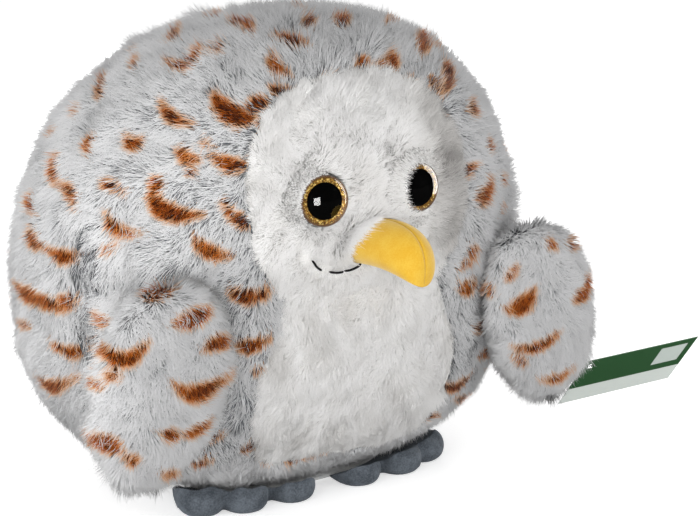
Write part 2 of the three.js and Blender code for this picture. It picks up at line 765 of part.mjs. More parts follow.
export default owl;
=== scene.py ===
# %% [markdown]
# # A plush owl in long fur
#
# The sewn frame comes from the CAD model: stuffed forms, panels, eyes and hinges, all in one frame
# with +Z up and the face towards -Y. This lesson dresses it. Nearly everything that shows on the
# real toy is pile, so the main work is to grow short tapered fibres on each sewn panel.

# %%
# Load the sewn frame
import math

import bpy
import numpy as np
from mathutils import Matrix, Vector


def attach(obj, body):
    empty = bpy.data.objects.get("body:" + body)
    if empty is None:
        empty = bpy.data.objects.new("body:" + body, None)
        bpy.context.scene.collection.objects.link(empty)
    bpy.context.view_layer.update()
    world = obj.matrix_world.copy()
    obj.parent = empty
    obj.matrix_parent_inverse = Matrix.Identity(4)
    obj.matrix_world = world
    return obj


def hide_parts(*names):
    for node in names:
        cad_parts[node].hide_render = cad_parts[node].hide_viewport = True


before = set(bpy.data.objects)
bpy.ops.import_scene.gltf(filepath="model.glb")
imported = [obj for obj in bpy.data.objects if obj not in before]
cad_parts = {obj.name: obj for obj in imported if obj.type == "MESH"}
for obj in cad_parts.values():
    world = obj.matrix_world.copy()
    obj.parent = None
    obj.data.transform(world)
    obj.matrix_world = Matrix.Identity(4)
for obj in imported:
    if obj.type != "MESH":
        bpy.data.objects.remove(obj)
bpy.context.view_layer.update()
MM = 0.001

# %% [markdown]
# ## Camera
# The view is from the owl's own right, 33 degrees round from the front and 15 degrees above, with
# a short telephoto lens 1.3 m away. Nothing is shifted or blurred, so every other view stays true.

# %%
# Camera, in the photograph's frame of 700 x 516 pixels
PHOTO_WIDTH, PHOTO_HEIGHT = 700, 516
SENSOR_WIDTH, LENS = 36.0, 88.77
CAMERA_PLACE = np.array([-632.2, -1086.7, 494.8])
CAMERA_AIM = np.array([51.7, -33.6, 158.3])
FOCAL_PIXELS = PHOTO_WIDTH * LENS / SENSOR_WIDTH
TO_CAMERA = [-0.5261, -0.8101, 0.2588]
camera_data = bpy.data.cameras.new("camera")
camera_data.sensor_width = SENSOR_WIDTH
camera_data.lens = LENS
camera = bpy.data.objects.new("camera", camera_data)
bpy.context.collection.objects.link(camera)
camera.location = CAMERA_PLACE * MM
aim = Vector((CAMERA_AIM - CAMERA_PLACE) * MM)
camera.rotation_euler = aim.to_track_quat("-Z", "Y").to_euler()
bpy.context.scene.camera = camera
print("camera looks along", [round(v, 3) for v in aim.normalized()])

# %% [markdown]
# ## Helpers for numbers, meshes and materials
# A shape here is an array of points worked out at once from two running numbers. These helpers put
# such arrays into a mesh and build a node material from sRGB colours.

# %%
# Smooth random numbers and directions
def unit(vectors):
    """Each vector divided by its own length."""
    return vectors / np.maximum(np.linalg.norm(vectors, axis=-1, keepdims=True), 1e-9)


def ripple(points, wavelength, seed, parts=1, waves=20):
    """Smooth random values, spread of 1: the sum of sine waves that cross the points in random
    directions, each with about the wavelength given, in the points' own unit."""
    rng = np.random.default_rng(seed)
    travel = unit(rng.normal(size=(waves, 3))) * rng.uniform(0.7, 1.4, (waves, 1))
    phase = rng.uniform(0, 2 * np.pi, (parts, waves))
    angle = points @ (travel.T * (2 * np.pi / wavelength))
    found = [np.sin(angle + p).sum(1) * math.sqrt(2 / waves) for p in phase]
    return np.stack(found, 1) if parts > 1 else found[0]


def rounded_step(value, low, high):
    """0 below low, 1 above high, and an S-shaped rise between."""
    share = np.clip((value - low) / (high - low), 0, 1)
    return share * share * (3 - 2 * share)


def smooth_curve(knots, count):
    """Points on a curve through the knots: between two knots, the cubic whose slope at each knot
    is half the step from the knot before to the knot after."""
    knots = np.asarray(knots, float)
    share = np.linspace(0, len(knots) - 1, count)
    at = np.minimum(share.astype(int), len(knots) - 2)
    t = (share - at)[:, None]
    p0, p1 = knots[np.maximum(at - 1, 0)], knots[at]
    p2, p3 = knots[at + 1], knots[np.minimum(at + 2, len(knots) - 1)]
    m1, m2 = (p2 - p0) / 2, (p3 - p1) / 2
    cube, square = t ** 3, t ** 2
    return ((2 * cube - 3 * square + 1) * p1 + (cube - 2 * square + t) * m1
            + (3 * square - 2 * cube) * p2 + (cube - square) * m2)


# %%
# Put arrays into meshes
def mesh_piece(name, points, faces, smooth=True):
    """A mesh object from points in millimetres and an array of faces of one size."""
    points, faces = np.asarray(points, float), np.asarray(faces)
    mesh = bpy.data.meshes.new(name)
    mesh.vertices.add(len(points))
    mesh.vertices.foreach_set("co", (points * MM).astype(np.float32).ravel())
    mesh.loops.add(faces.size)
    mesh.loops.foreach_set("vertex_index", faces.astype(np.int32).ravel())
    mesh.polygons.add(len(faces))
    starts = np.arange(0, faces.size, faces.shape[1], dtype=np.int32)
    mesh.polygons.foreach_set("loop_start", starts)
    mesh.polygons.foreach_set("use_smooth", np.full(len(faces), smooth))
    mesh.update(calc_edges=True)
    piece = bpy.data.objects.new(name, mesh)
    bpy.context.collection.objects.link(piece)
    return piece


def ring_faces(rows, around):
    """Triangles over rows of around points each, row after row, joined round and capped at both
    ends by one point before the first row and one after the last."""
    row, i = np.meshgrid(np.arange(rows - 1), np.arange(around), indexing="ij")
    low, after = 1 + row * around + i, 1 + row * around + (i + 1) % around
    high, high_after = low + around, after + around
    sides = np.stack([low, after, high_after, low, high_after, high], -1).reshape(-1, 3)
    i = np.arange(around)
    start = np.stack([np.zeros_like(i), 1 + (i + 1) % around, 1 + i], 1)
    top, end = 1 + (rows - 1) * around, rows * around + 1
    finish = np.stack([np.full_like(i, end), top + i, top + (i + 1) % around], 1)
    return np.concatenate([start, sides, finish])


def outward(points, faces):
    """The faces, turned over if together they enclose a negative volume."""
    a, b, c = (points[faces[:, k]] for k in range(3))
    volume = np.einsum("ij,ij->i", a, np.cross(b, c)).sum()
    return faces if volume > 0 else faces[:, ::-1]


def closed_form(name, rings, start, end):
    """A closed skin over an array of rings (row, place round the ring, xyz), with a point at each
    end."""
    rows, around = rings.shape[:2]
    points = np.concatenate([[start], rings.reshape(-1, 3), [end]])
    return mesh_piece(name, points, outward(points, ring_faces(rows, around)))


def slab(name, front, back):
    """A closed sheet between two grids of the same size: both grids, and a rim round their edge."""
    rows, columns = front.shape[:2]
    total = rows * columns
    row, i = np.meshgrid(np.arange(rows - 1), np.arange(columns - 1), indexing="ij")
    a = (row * columns + i).ravel()
    quads = np.stack([a, a + 1, a + columns + 1, a + columns], 1)
    index = np.arange(total).reshape(rows, columns)
    edge = np.concatenate([index[0, :-1], index[:-1, -1], index[-1, :0:-1], index[:0:-1, 0]])
    after = np.roll(edge, -1)
    rim = np.stack([edge + total, after + total, after, edge], 1)
    faces = np.concatenate([quads, quads[:, ::-1] + total, rim])
    points = np.concatenate([front.reshape(-1, 3), back.reshape(-1, 3)])
    halves = np.concatenate([faces[:, [0, 1, 2]], faces[:, [0, 2, 3]]])
    turned = outward(points, halves)
    if turned is not halves:
        faces = faces[:, ::-1]
    return mesh_piece(name, points, faces)


def dress(piece, body, slot, material, *stands_for):
    """Gives a piece its material and its body, and hides the CAD nodes that it stands for. The slot is
    not used.
    """
    piece.data.materials.clear()
    piece.data.materials.append(material)
    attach(piece, body)
    if stands_for:
        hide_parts(*stands_for)


# %%
# Build node materials
def srgb(text):
    """A hex colour such as E8E6E2 as linear red, green, blue and alpha."""
    found = [int(text[i:i + 2], 16) / 255 for i in (0, 2, 4)]
    return tuple(v / 12.92 if v <= 0.04045 else ((v + 0.055) / 1.055) ** 2.4 for v in found) + (1.0,)


def node(tree, kind, values=None, links=None, stops=None, **settings):
    """Adds a node: its settings, its sockets' constant values, its links and its ramp's stops."""
    made = tree.nodes.new(kind)
    for name, value in settings.items():
        setattr(made, name, value)
    for socket, value in (values or {}).items():
        made.inputs[socket].default_value = value
    for socket, source in (links or {}).items():
        tree.links.new(source, made.inputs[socket])
    for number, (place, text) in enumerate(stops or []):
        elements = made.color_ramp.elements
        element = elements[number] if number < len(elements) else elements.new(place)
        element.position, element.color = place, srgb(text)
    return made


def new_material(name):
    """An empty node material with its output, which the caller fills."""
    material = bpy.data.materials.new(name)
    material.use_nodes = True
    material.node_tree.nodes.clear()
    tree = material.node_tree
    return material, tree, node(tree, "ShaderNodeOutputMaterial")


print("helpers ready")

# %% [markdown]
# ## The body's form
# The body is one stuffed cushion: an oval plan that is fullest at mid height, leaning forward at
# the top, with a soft crease under the chin where the face panel meets the belly panel. These are
# the frame's own sizes, so the fur's skin lies just inside the frame's surface.

# %%
# Body surface
HALF_WIDTH, HALF_DEPTH, MIDDLE = 194.0, 142.0, 154.0
TOP_RISE, LOWER_DROP, LEAN = 198.0, 160.0, 33.0
UPPER_OVAL, LOWER_OVAL, PLAN_OVAL, LEAN_POWER = 2.3, 2.6, 2.5, 1.6
WAIST = 169.0
CREASE_DEPTH, CREASE_TALL, CREASE_WIDE = 5.0, 15.0, 75.0


def oval(angle, exponent):
    """Cosine and sine, both divided by their own length when it is measured with the exponent:
    2 keeps the circle, and more makes it squarer."""
    c, s = np.cos(angle), np.sin(angle)
    size = (np.abs(c) ** exponent + np.abs(s) ** exponent) ** (-1 / exponent)
    return c * size, s * size


def lean(z):
    """How far the body leans forward: nothing up to the middle, then rising as a power."""
    return LEAN * np.clip((z - MIDDLE) / TOP_RISE, 0, None) ** LEAN_POWER


def crease(x, z):
    """Depth of the chin crease: a bell across the waist seam that fades towards its ends."""
    return CREASE_DEPTH * np.exp(-((z - WAIST) / CREASE_TALL) ** 2 - (x / CREASE_WIDE) ** 4)


def body_point(turn, latitude, inset=0.0):
    """An oval of latitude gives the ring's size and height, an oval of turn gives the place on
    the ring, and then the lean and the crease move it in Y."""
    upper = np.stack(oval(latitude, UPPER_OVAL), -1)
    lower = np.stack(oval(latitude, LOWER_OVAL), -1)
    ring, climb = np.moveaxis(np.where((latitude > 0)[..., None], upper, lower), -1, 0)
    across, along = oval(turn, PLAN_OVAL)
    reach = np.where(climb > 0, TOP_RISE, LOWER_DROP) - inset
    x = (HALF_WIDTH - inset) * ring * across
    z = MIDDLE + reach * climb
    y = (HALF_DEPTH - inset) * ring * along - lean(z) + np.where(along < 0, crease(x, z), 0)
    return np.stack([x, y, z], -1)


def climb_at(z, inset):
    """A height's distance from the middle as a share of the body's reach up or down, and the
    exponent of the oval that holds there."""
    climb = np.abs(z - MIDDLE) / (np.where(z > MIDDLE, TOP_RISE, LOWER_DROP) - inset)
    return climb, np.where(z > MIDDLE, UPPER_OVAL, LOWER_OVAL)


def ring_at(z, inset):
    """The size of the body's ring at a height, as a share of the fullest one's."""
    climb, exponent = climb_at(z, inset)
    return np.clip(1 - climb ** exponent, 0, 1) ** (1 / exponent)


def plan_rest(share, ring):
    """How far the plan's oval reaches one way, as a share, where the other way has its share."""
    return np.clip(ring ** PLAN_OVAL - share ** PLAN_OVAL, 0, 1) ** (1 / PLAN_OVAL)


def body_front(x, z, inset=0.0):
    """Y of the body's front at a place seen from the front."""
    depth = plan_rest(np.abs(x) / (HALF_WIDTH - inset), ring_at(z, inset))
    return -(HALF_DEPTH - inset) * depth - lean(z) + crease(x, z)


def body_side(y, z, inset=0.0):
    """Half the body's width at a depth and a height."""
    across = plan_rest(np.abs(y + lean(z)) / (HALF_DEPTH - inset), ring_at(z, inset))
    return (HALF_WIDTH - inset) * across


def in_body(points, inset=0.0):
    """Under 1 inside the body's form and over 1 outside it."""
    x, y, z = points[..., 0], points[..., 1] + lean(points[..., 2]), points[..., 2]
    climb, exponent = climb_at(z, inset)
    plan = ((np.abs(x) / (HALF_WIDTH - inset)) ** PLAN_OVAL
            + (np.abs(y) / (HALF_DEPTH - inset)) ** PLAN_OVAL)
    return plan ** (exponent / PLAN_OVAL) + climb ** exponent


# %%
# Wing surface
WING_SHARES = [(0, 0), (0.38, 0.02), (0.62, 0.07), (0.8, 0.16), (0.92, 0.27), (0.99, 0.4), (1, 0.52),
               (0.95, 0.64), (0.85, 0.75), (0.7, 0.85), (0.48, 0.94), (0.25, 0.985), (0, 1)]
WING_HALF_WIDTH, WING_HALF_DEPTH, WING_OVAL, WING_THINNING = 50, 22, 2.3, 0.75
WING_OUT, WING_SPREAD, WING_Y, WING_TOP, WING_LENGTH = 147, 21, -129, 195, 143
LINE_POINTS = 400
wing_line = smooth_curve(WING_SHARES, LINE_POINTS)


def wing_point(side, turn, share, inset=0.0):
    """A place on a wing: its outline's width and height at that share, and an oval section."""
    wide = np.interp(share, np.linspace(0, 1, LINE_POINTS), wing_line[:, 0])
    down = np.interp(share, np.linspace(0, 1, LINE_POINTS), wing_line[:, 1])
    across, along = oval(turn, WING_OVAL)
    half = np.maximum(WING_HALF_WIDTH * wide - inset, 0.05)
    thick = np.maximum(WING_HALF_DEPTH * np.maximum(wide, 0) ** WING_THINNING - inset, 0.05)
    return np.stack([side * (WING_OUT + WING_SPREAD * down + half * across),
                     WING_Y + thick * along,
                     WING_TOP - inset - (WING_LENGTH - 2 * inset) * down], -1)


def in_wing(points, side, inset=0.0):
    """Under 1 inside a wing's form, over 1 outside it, and far over 1 above and below it."""
    down = (WING_TOP - points[..., 2]) / WING_LENGTH
    wide = np.interp(down, wing_line[:, 1], wing_line[:, 0], left=0, right=0)
    half = np.maximum(WING_HALF_WIDTH * wide - inset, 0.01)
    thick = np.maximum(WING_HALF_DEPTH * wide ** WING_THINNING - inset, 0.01)
    across = np.abs(side * points[..., 0] - WING_OUT - WING_SPREAD * down) / half
    along = np.abs(points[..., 1] - WING_Y) / thick
    return np.where(wide > 0, across ** WING_OVAL + along ** WING_OVAL, 1e6)


# %%
# Normals, and evenly spread places
def frames(surface, a, b, step=1e-3):
    """Points of a surface with the unit normal, from its slopes along its two numbers."""
    along_a = surface(a + step, b) - surface(a - step, b)
    along_b = surface(a, b + step) - surface(a, b - step)
    return surface(a, b), unit(np.cross(along_a, along_b))


def scatter(surface, count, a_range, b_range, seed, cells=(600, 300)):
    """Evenly spread places on a surface: cells are picked in proportion to their area by a
    sequence that leaves no clusters, and the place within a cell is read off in between."""
    a = np.linspace(*a_range, cells[0] + 1)
    b = np.linspace(*b_range, cells[1] + 1)
    corner = surface(*np.meshgrid(a, b))
    side = corner[:-1, 1:] - corner[:-1, :-1]
    up = corner[1:, :-1] - corner[:-1, :-1]
    area = np.linalg.norm(np.cross(side, up), axis=-1)
    rows = np.concatenate([[0], np.cumsum(area.sum(1))])
    rng = np.random.default_rng(seed)
    number = np.arange(count)
    first = (number + rng.uniform(0.2, 0.8, count)) / count * rows[-1]
    row = np.clip(np.searchsorted(rows, first) - 1, 0, cells[1] - 1)
    b_found = b[row] + (b[1] - b[0]) * (first - rows[row]) / (rows[row + 1] - rows[row])
    flat = np.cumsum(area.ravel())
    wanted = rows[row] + ((number * 0.6180339887 + rng.uniform(0, 0.0005, count)) % 1) * (
        rows[row + 1] - rows[row])
    cell = np.clip(np.searchsorted(flat, wanted), row * cells[0], (row + 1) * cells[0] - 1)
    share = 1 - np.clip((flat[cell] - wanted) / area.ravel()[cell], 0, 1)
    return a[cell % cells[0]] + (a[1] - a[0]) * share, b_found, rows[-1]


print("body front at eye height:", round(float(body_front(38.0, 234.5)), 1), "mm")

# %% [markdown]
# ## Panels seen from the front
# The white face is a spade shape that narrows to the waist seam, and the white belly below it is a
# pear. Each outline is a smooth curve through a few measured widths.

# %%
# Panel outlines
FACE_SHARES = [(0.72, 0), (0.95, 0.2), (1, 0.36), (1, 0.52), (0.96, 0.66), (0.86, 0.78),
               (0.7, 0.88), (0.42, 0.96), (0, 1)]
BELLY_SHARES = [(0, 0), (0.5, 0.02), (0.86, 0.12), (1, 0.34), (1, 0.52), (0.94, 0.68),
                (0.84, 0.84), (0.75, 1)]
FACE_HALF_WIDTH, FACE_TOP, BELLY_HALF_WIDTH, BELLY_LOW = 85, 312, 81, 36
FUR_OVER_HEM, LEFT_FOOT_X = 8, 28
face_line = smooth_curve(FACE_SHARES, 160) * (FACE_HALF_WIDTH, FACE_TOP - WAIST) + (0, WAIST)
belly_line = (smooth_curve(BELLY_SHARES, 160) * (BELLY_HALF_WIDTH, WAIST - BELLY_LOW)
              + (0, BELLY_LOW))


def panel_half_width(z, line):
    """Half the panel's width at each height, read off its outline."""
    return np.interp(z, line[:, 1], line[:, 0], left=0, right=0)


def panel_edge(points):
    """How far a place on the front is inside the white fur, in mm: under 0 is outside. The cover's
    fur stands up over the belly's lower seam, by 8 mm but for a stretch over the left foot."""
    x, z = np.abs(points[:, 0]), points[:, 2]
    low_edge = BELLY_LOW + FUR_OVER_HEM * rounded_step(np.abs(points[:, 0] - LEFT_FOOT_X), 10, 34)
    width = np.where(z > WAIST, panel_half_width(z, face_line), panel_half_width(z, belly_line))
    inside = np.minimum(width - x, np.minimum(FACE_TOP - z, z - low_edge))
    return np.where(points[:, 1] < 0, inside, -99.0)


print("panel widths:", face_line[:, 0].max() * 2, belly_line[:, 0].max() * 2, "mm")

# %% [markdown]
# ## Materials of the pile
# Plush pile is extruded polyester fibre, cut and brushed. It has no gloss to speak of, light leaks
# through it, and on this cloth each fibre is grey at the root and white at the tip, with crescents
# printed in rust brown. So the colour runs along each fibre, and some light passes through.

# %%
# Pile materials
def between(tree, source, low, high):
    """The share of the way from low to high, held between nothing and one."""
    return node(tree, "ShaderNodeMapRange", values={1: low, 2: high}, links={0: source}).outputs[0]


def pile_material(name, plain, printed, fringe, fades, prints, glow, passes):
    """Colour ramps along the fibre, one plain and one printed, mixed by the fibre's mark, with a
    fringe tone between the two: fades and prints are the marks where each change begins and ends.
    On the white fur the second ramp and the fringe tone hold painted shade, not print.
    The attribute fibre holds the place along the fibre, the mark and a tone of its own. The light on
    a fibre follows the cloth's own slope more than the fibre's, as it does in deep soft pile, and
    the share that passes goes straight by, since a real fibre is far finer than these."""
    material, tree, output = new_material(name)
    fibre = node(tree, "ShaderNodeAttribute", attribute_name="fibre")
    parts = node(tree, "ShaderNodeSeparateColor", links={"Color": fibre.outputs["Color"]})
    toned = node(tree, "ShaderNodeMath", operation="MULTIPLY_ADD",
                 values={1: 0.30, 2: -0.15}, links={0: parts.outputs["Blue"]})
    place = node(tree, "ShaderNodeMath", operation="ADD",
                 links={0: parts.outputs["Red"], 1: toned.outputs[0]})
    base = node(tree, "ShaderNodeValToRGB", links={"Fac": place.outputs[0]}, stops=plain)
    deeper = node(tree, "ShaderNodeMath", operation="MULTIPLY_ADD", values={1: -0.75},
                  links={0: parts.outputs["Green"], 2: place.outputs[0]})
    mark = node(tree, "ShaderNodeValToRGB", links={"Fac": deeper.outputs[0]}, stops=printed)
    faded = node(tree, "ShaderNodeMix", data_type="RGBA", values={7: srgb(fringe)},
                 links={0: between(tree, parts.outputs["Green"], *fades), 6: base.outputs[0]})
    mixed = node(tree, "ShaderNodeMix", data_type="RGBA",
                 links={0: between(tree, parts.outputs["Green"], *prints), 6: faded.outputs[2],
                        7: mark.outputs[0]})
    slope = node(tree, "ShaderNodeAttribute", attribute_name="slope")
    facing = node(tree, "ShaderNodeNewGeometry")
    own = node(tree, "ShaderNodeVectorMath", operation="SCALE", values={3: 0.45},
               links={0: facing.outputs["Normal"]})
    summed = node(tree, "ShaderNodeVectorMath", operation="ADD",
                  links={0: slope.outputs["Vector"], 1: own.outputs[0]})
    normal = node(tree, "ShaderNodeVectorMath", operation="NORMALIZE", links={0: summed.outputs[0]})
    cloth = node(tree, "ShaderNodeBsdfPrincipled",
                 values={"Roughness": 0.85, "Specular IOR Level": 0.2, "Sheen Weight": 0.15},
                 links={"Base Color": mixed.outputs[2], "Normal": normal.outputs[0]})
    leak = node(tree, "ShaderNodeBsdfTranslucent", links={"Color": mixed.outputs[2]})
    both = node(tree, "ShaderNodeMixShader", values={0: glow},
                links={1: cloth.outputs[0], 2: leak.outputs[0]})
    ray = node(tree, "ShaderNodeLightPath")
    lets = node(tree, "ShaderNodeMath", operation="MULTIPLY_ADD", values={1: -passes, 2: passes},
                links={0: ray.outputs["Is Camera Ray"]})
    through = node(tree, "ShaderNodeBsdfTransparent")
    airy = node(tree, "ShaderNodeMixShader",
                links={0: lets.outputs[0], 1: both.outputs[0], 2: through.outputs[0]})
    tree.links.new(airy.outputs[0], output.inputs["Surface"])
    return material


mottled_pile = pile_material(
    "polyester fur, grey roots and white tips",
    [(0.0, "56575A"), (0.16, "8B8C8F"), (0.32, "C4C5C6"), (0.5, "D7D7D8"), (1.0, "E2E2E2")],
    [(0.0, "441C04"), (0.10, "863C08"), (0.26, "AD530B"), (0.42, "C57024"), (0.60, "D49559")],
    "D8A67A", fades=(0.28, 0.48), prints=(0.46, 0.56), glow=0.12, passes=0.7)
# The white fur's second ramp and its fringe tone are no print: they grey the fibres as painted shade.
white_pile = pile_material(
    "polyester fur, creamy white",
    [(0.0, "B4B2B0"), (0.2, "D2D0CD"), (0.42, "F2F1EF"), (1.0, "FEFDFC")],
    [(0.0, "8F8C89"), (0.5, "CBC8C5"), (1.0, "E6E4E1")],
    "E2E0DD", fades=(0.0, 0.45), prints=(0.2, 0.8), glow=0.12, passes=0.8)


def cloth_material(name, dark, light, grain, roughness=0.9, sheen=0.3, bump=0.15, tint="FFFFFF"):
    """Short-pile cloth: noise at the size of its tufts, in metres, for colour and bump."""
    material, tree, output = new_material(name)
    place = node(tree, "ShaderNodeTexCoord")
    fine = node(tree, "ShaderNodeTexNoise", values={"Scale": 1 / grain, "Detail": 3.0},
                links={"Vector": place.outputs["Object"]})
    broad = node(tree, "ShaderNodeTexNoise", values={"Scale": 0.12 / grain, "Detail": 2.0},
                 links={"Vector": place.outputs["Object"]})
    both = node(tree, "ShaderNodeMath", operation="ADD",
                links={0: fine.outputs["Fac"], 1: broad.outputs["Fac"]})
    half = node(tree, "ShaderNodeMath", operation="MULTIPLY", values={1: 0.5},
                links={0: both.outputs[0]})
    shade = node(tree, "ShaderNodeValToRGB", links={"Fac": half.outputs[0]},
                 stops=[(0.38, dark), (0.62, light)])
    raised = node(tree, "ShaderNodeBump", values={"Strength": bump, "Distance": grain},
                  links={"Height": fine.outputs["Fac"]})
    cloth = node(tree, "ShaderNodeBsdfPrincipled",
                 values={"Roughness": roughness, "Specular IOR Level": 0.2,
                         "Sheen Weight": sheen, "Sheen Roughness": 0.5, "Sheen Tint": srgb(tint)},
                 links={"Base Color": shade.outputs[0], "Normal": raised.outputs[0]})
    tree.links.new(cloth.outputs[0], output.inputs["Surface"])
    return material


grey_backing = cloth_material("knitted backing, grey", "4B5054", "767B7F", 0.0016)
white_backing = cloth_material("knitted backing, cream", "D6D5D3", "E4E3E1", 0.0016)
base_cloth = cloth_material("brushed polyester cloth, pale grey", "C9CACA", "DFDFDD", 0.0012)
# The tunnel's lining is coloured dark grey as painted shade for the inside of the hand tunnel.
lining_painted_dark = cloth_material("brushed lining, dark grey as painted shade", "505356", "6A6C6E", 0.0014)
yellow_plush = cloth_material("short-pile plush, golden yellow", "C59823", "CBA437", 0.0011,
                              sheen=0.5, bump=0.25, tint="FFF2C8")
slate_plush = cloth_material("short-pile plush, slate grey", "3D4248", "5C6269", 0.0013,
                             sheen=0.25, bump=0.3, tint="B9C2CC")
print("materials:", len(bpy.data.materials))

# %% [markdown]
# ## Growing a fibre
# Each fibre is a closed three-sided spike: a small triangle at the root and a tip, four faces in
# all, so that the cloth can carry hundreds of thousands of them. Each leans the way the nap lies,
# and the tips gather in locks a few millimetres wide, which part here and there and show the
# darker roots.

# %%
# Fibre paths and fibre meshes
FIBRES_IN_A_PIECE = 49000


def grow(root, normal, nap, length, rise, seed, lock=1.6, lock_size=6.0, stray=0.30):
    """Root, tip and cloth slope of each fibre. The nap is swung from side to side by two smooth
    ripples and a little chance, rise is the angle off the cloth, and a ripple of direction draws
    neighbouring tips together."""
    rng = np.random.default_rng(seed)
    count = len(root)
    nap = unit(nap - normal * (nap * normal).sum(1, keepdims=True))
    across = np.cross(normal, nap)
    swing = (0.46 * ripple(root, 46, seed) + 0.34 * ripple(root, 13, seed + 1)
             + rng.normal(0, stray, count))[:, None]
    lie = nap * np.cos(swing) + across * np.sin(swing)
    rise = (rise + 0.09 * ripple(root, 24, seed + 2) + rng.normal(0, 0.16, count))[:, None]
    rise = np.clip(rise, 0.10, 1.45)
    length = (length * (1 + rng.normal(0, 0.14, count)))[:, None]
    gather = lock * ripple(root, lock_size, seed + 3, parts=3)
    gather -= 0.6 * normal * (gather * normal).sum(1, keepdims=True)
    tip = root + (lie * np.cos(rise) + normal * np.sin(rise)) * length + gather
    return root - 0.5 * normal, tip, normal


def pile_piece(name, root, tip, slope, width, marks, tone):
    """One mesh of many fibres: three points round the root, a third of a circle apart, and the
    tip. Both ends carry their own mark, so that a print has a clean edge."""
    count = len(root)
    along = unit(tip - root)
    side = unit(np.cross(along, [0.31, 0.52, 0.79]))
    other = np.cross(along, side)
    turn = np.arange(3) * 2 * np.pi / 3
    ring = side[:, None] * np.cos(turn)[:, None] + other[:, None] * np.sin(turn)[:, None]
    points = np.concatenate([root[:, None] + ring * width / 2, tip[:, None]], 1).reshape(-1, 3)
    pattern = np.array([(0, 2, 1), (0, 1, 3), (1, 2, 3), (2, 0, 3)])
    faces = (np.arange(count)[:, None, None] * 4 + pattern).reshape(-1, 3)
    piece = mesh_piece(name, points, faces)
    looks = np.ones((count, 4, 4), np.float32)
    looks[..., 0] = [0, 0, 0, 1]
    looks[:, :3, 1], looks[:, 3, 1] = marks[0][:, None], marks[1]
    looks[..., 2] = tone[:, None]
    held = piece.data.color_attributes.new("fibre", "FLOAT_COLOR", "POINT")
    held.data.foreach_set("color", looks.ravel())
    held = piece.data.attributes.new("slope", "FLOAT_VECTOR", "POINT")
    held.data.foreach_set("vector", np.repeat(slope, 4, axis=0).astype(np.float32).ravel())
    return piece


def pile_pieces(stem, parts, order, width, marks, tone, body, slot, material):
    """The fibres in as many pieces as keep each under 200,000 triangles, shared out by order."""
    turn = np.argsort(order, kind="stable")
    groups = np.array_split(turn, math.ceil(len(turn) / FIBRES_IN_A_PIECE))
    for number, chosen in enumerate(groups):
        root, tip, slope = (p[chosen] for p in parts)
        piece = pile_piece(f"{stem}_{number + 1}", root, tip, slope, width,
                           [m[chosen] for m in marks], tone[chosen])
        dress(piece, body, slot, material)
    print(stem, len(turn), "fibres in", len(groups), "pieces")
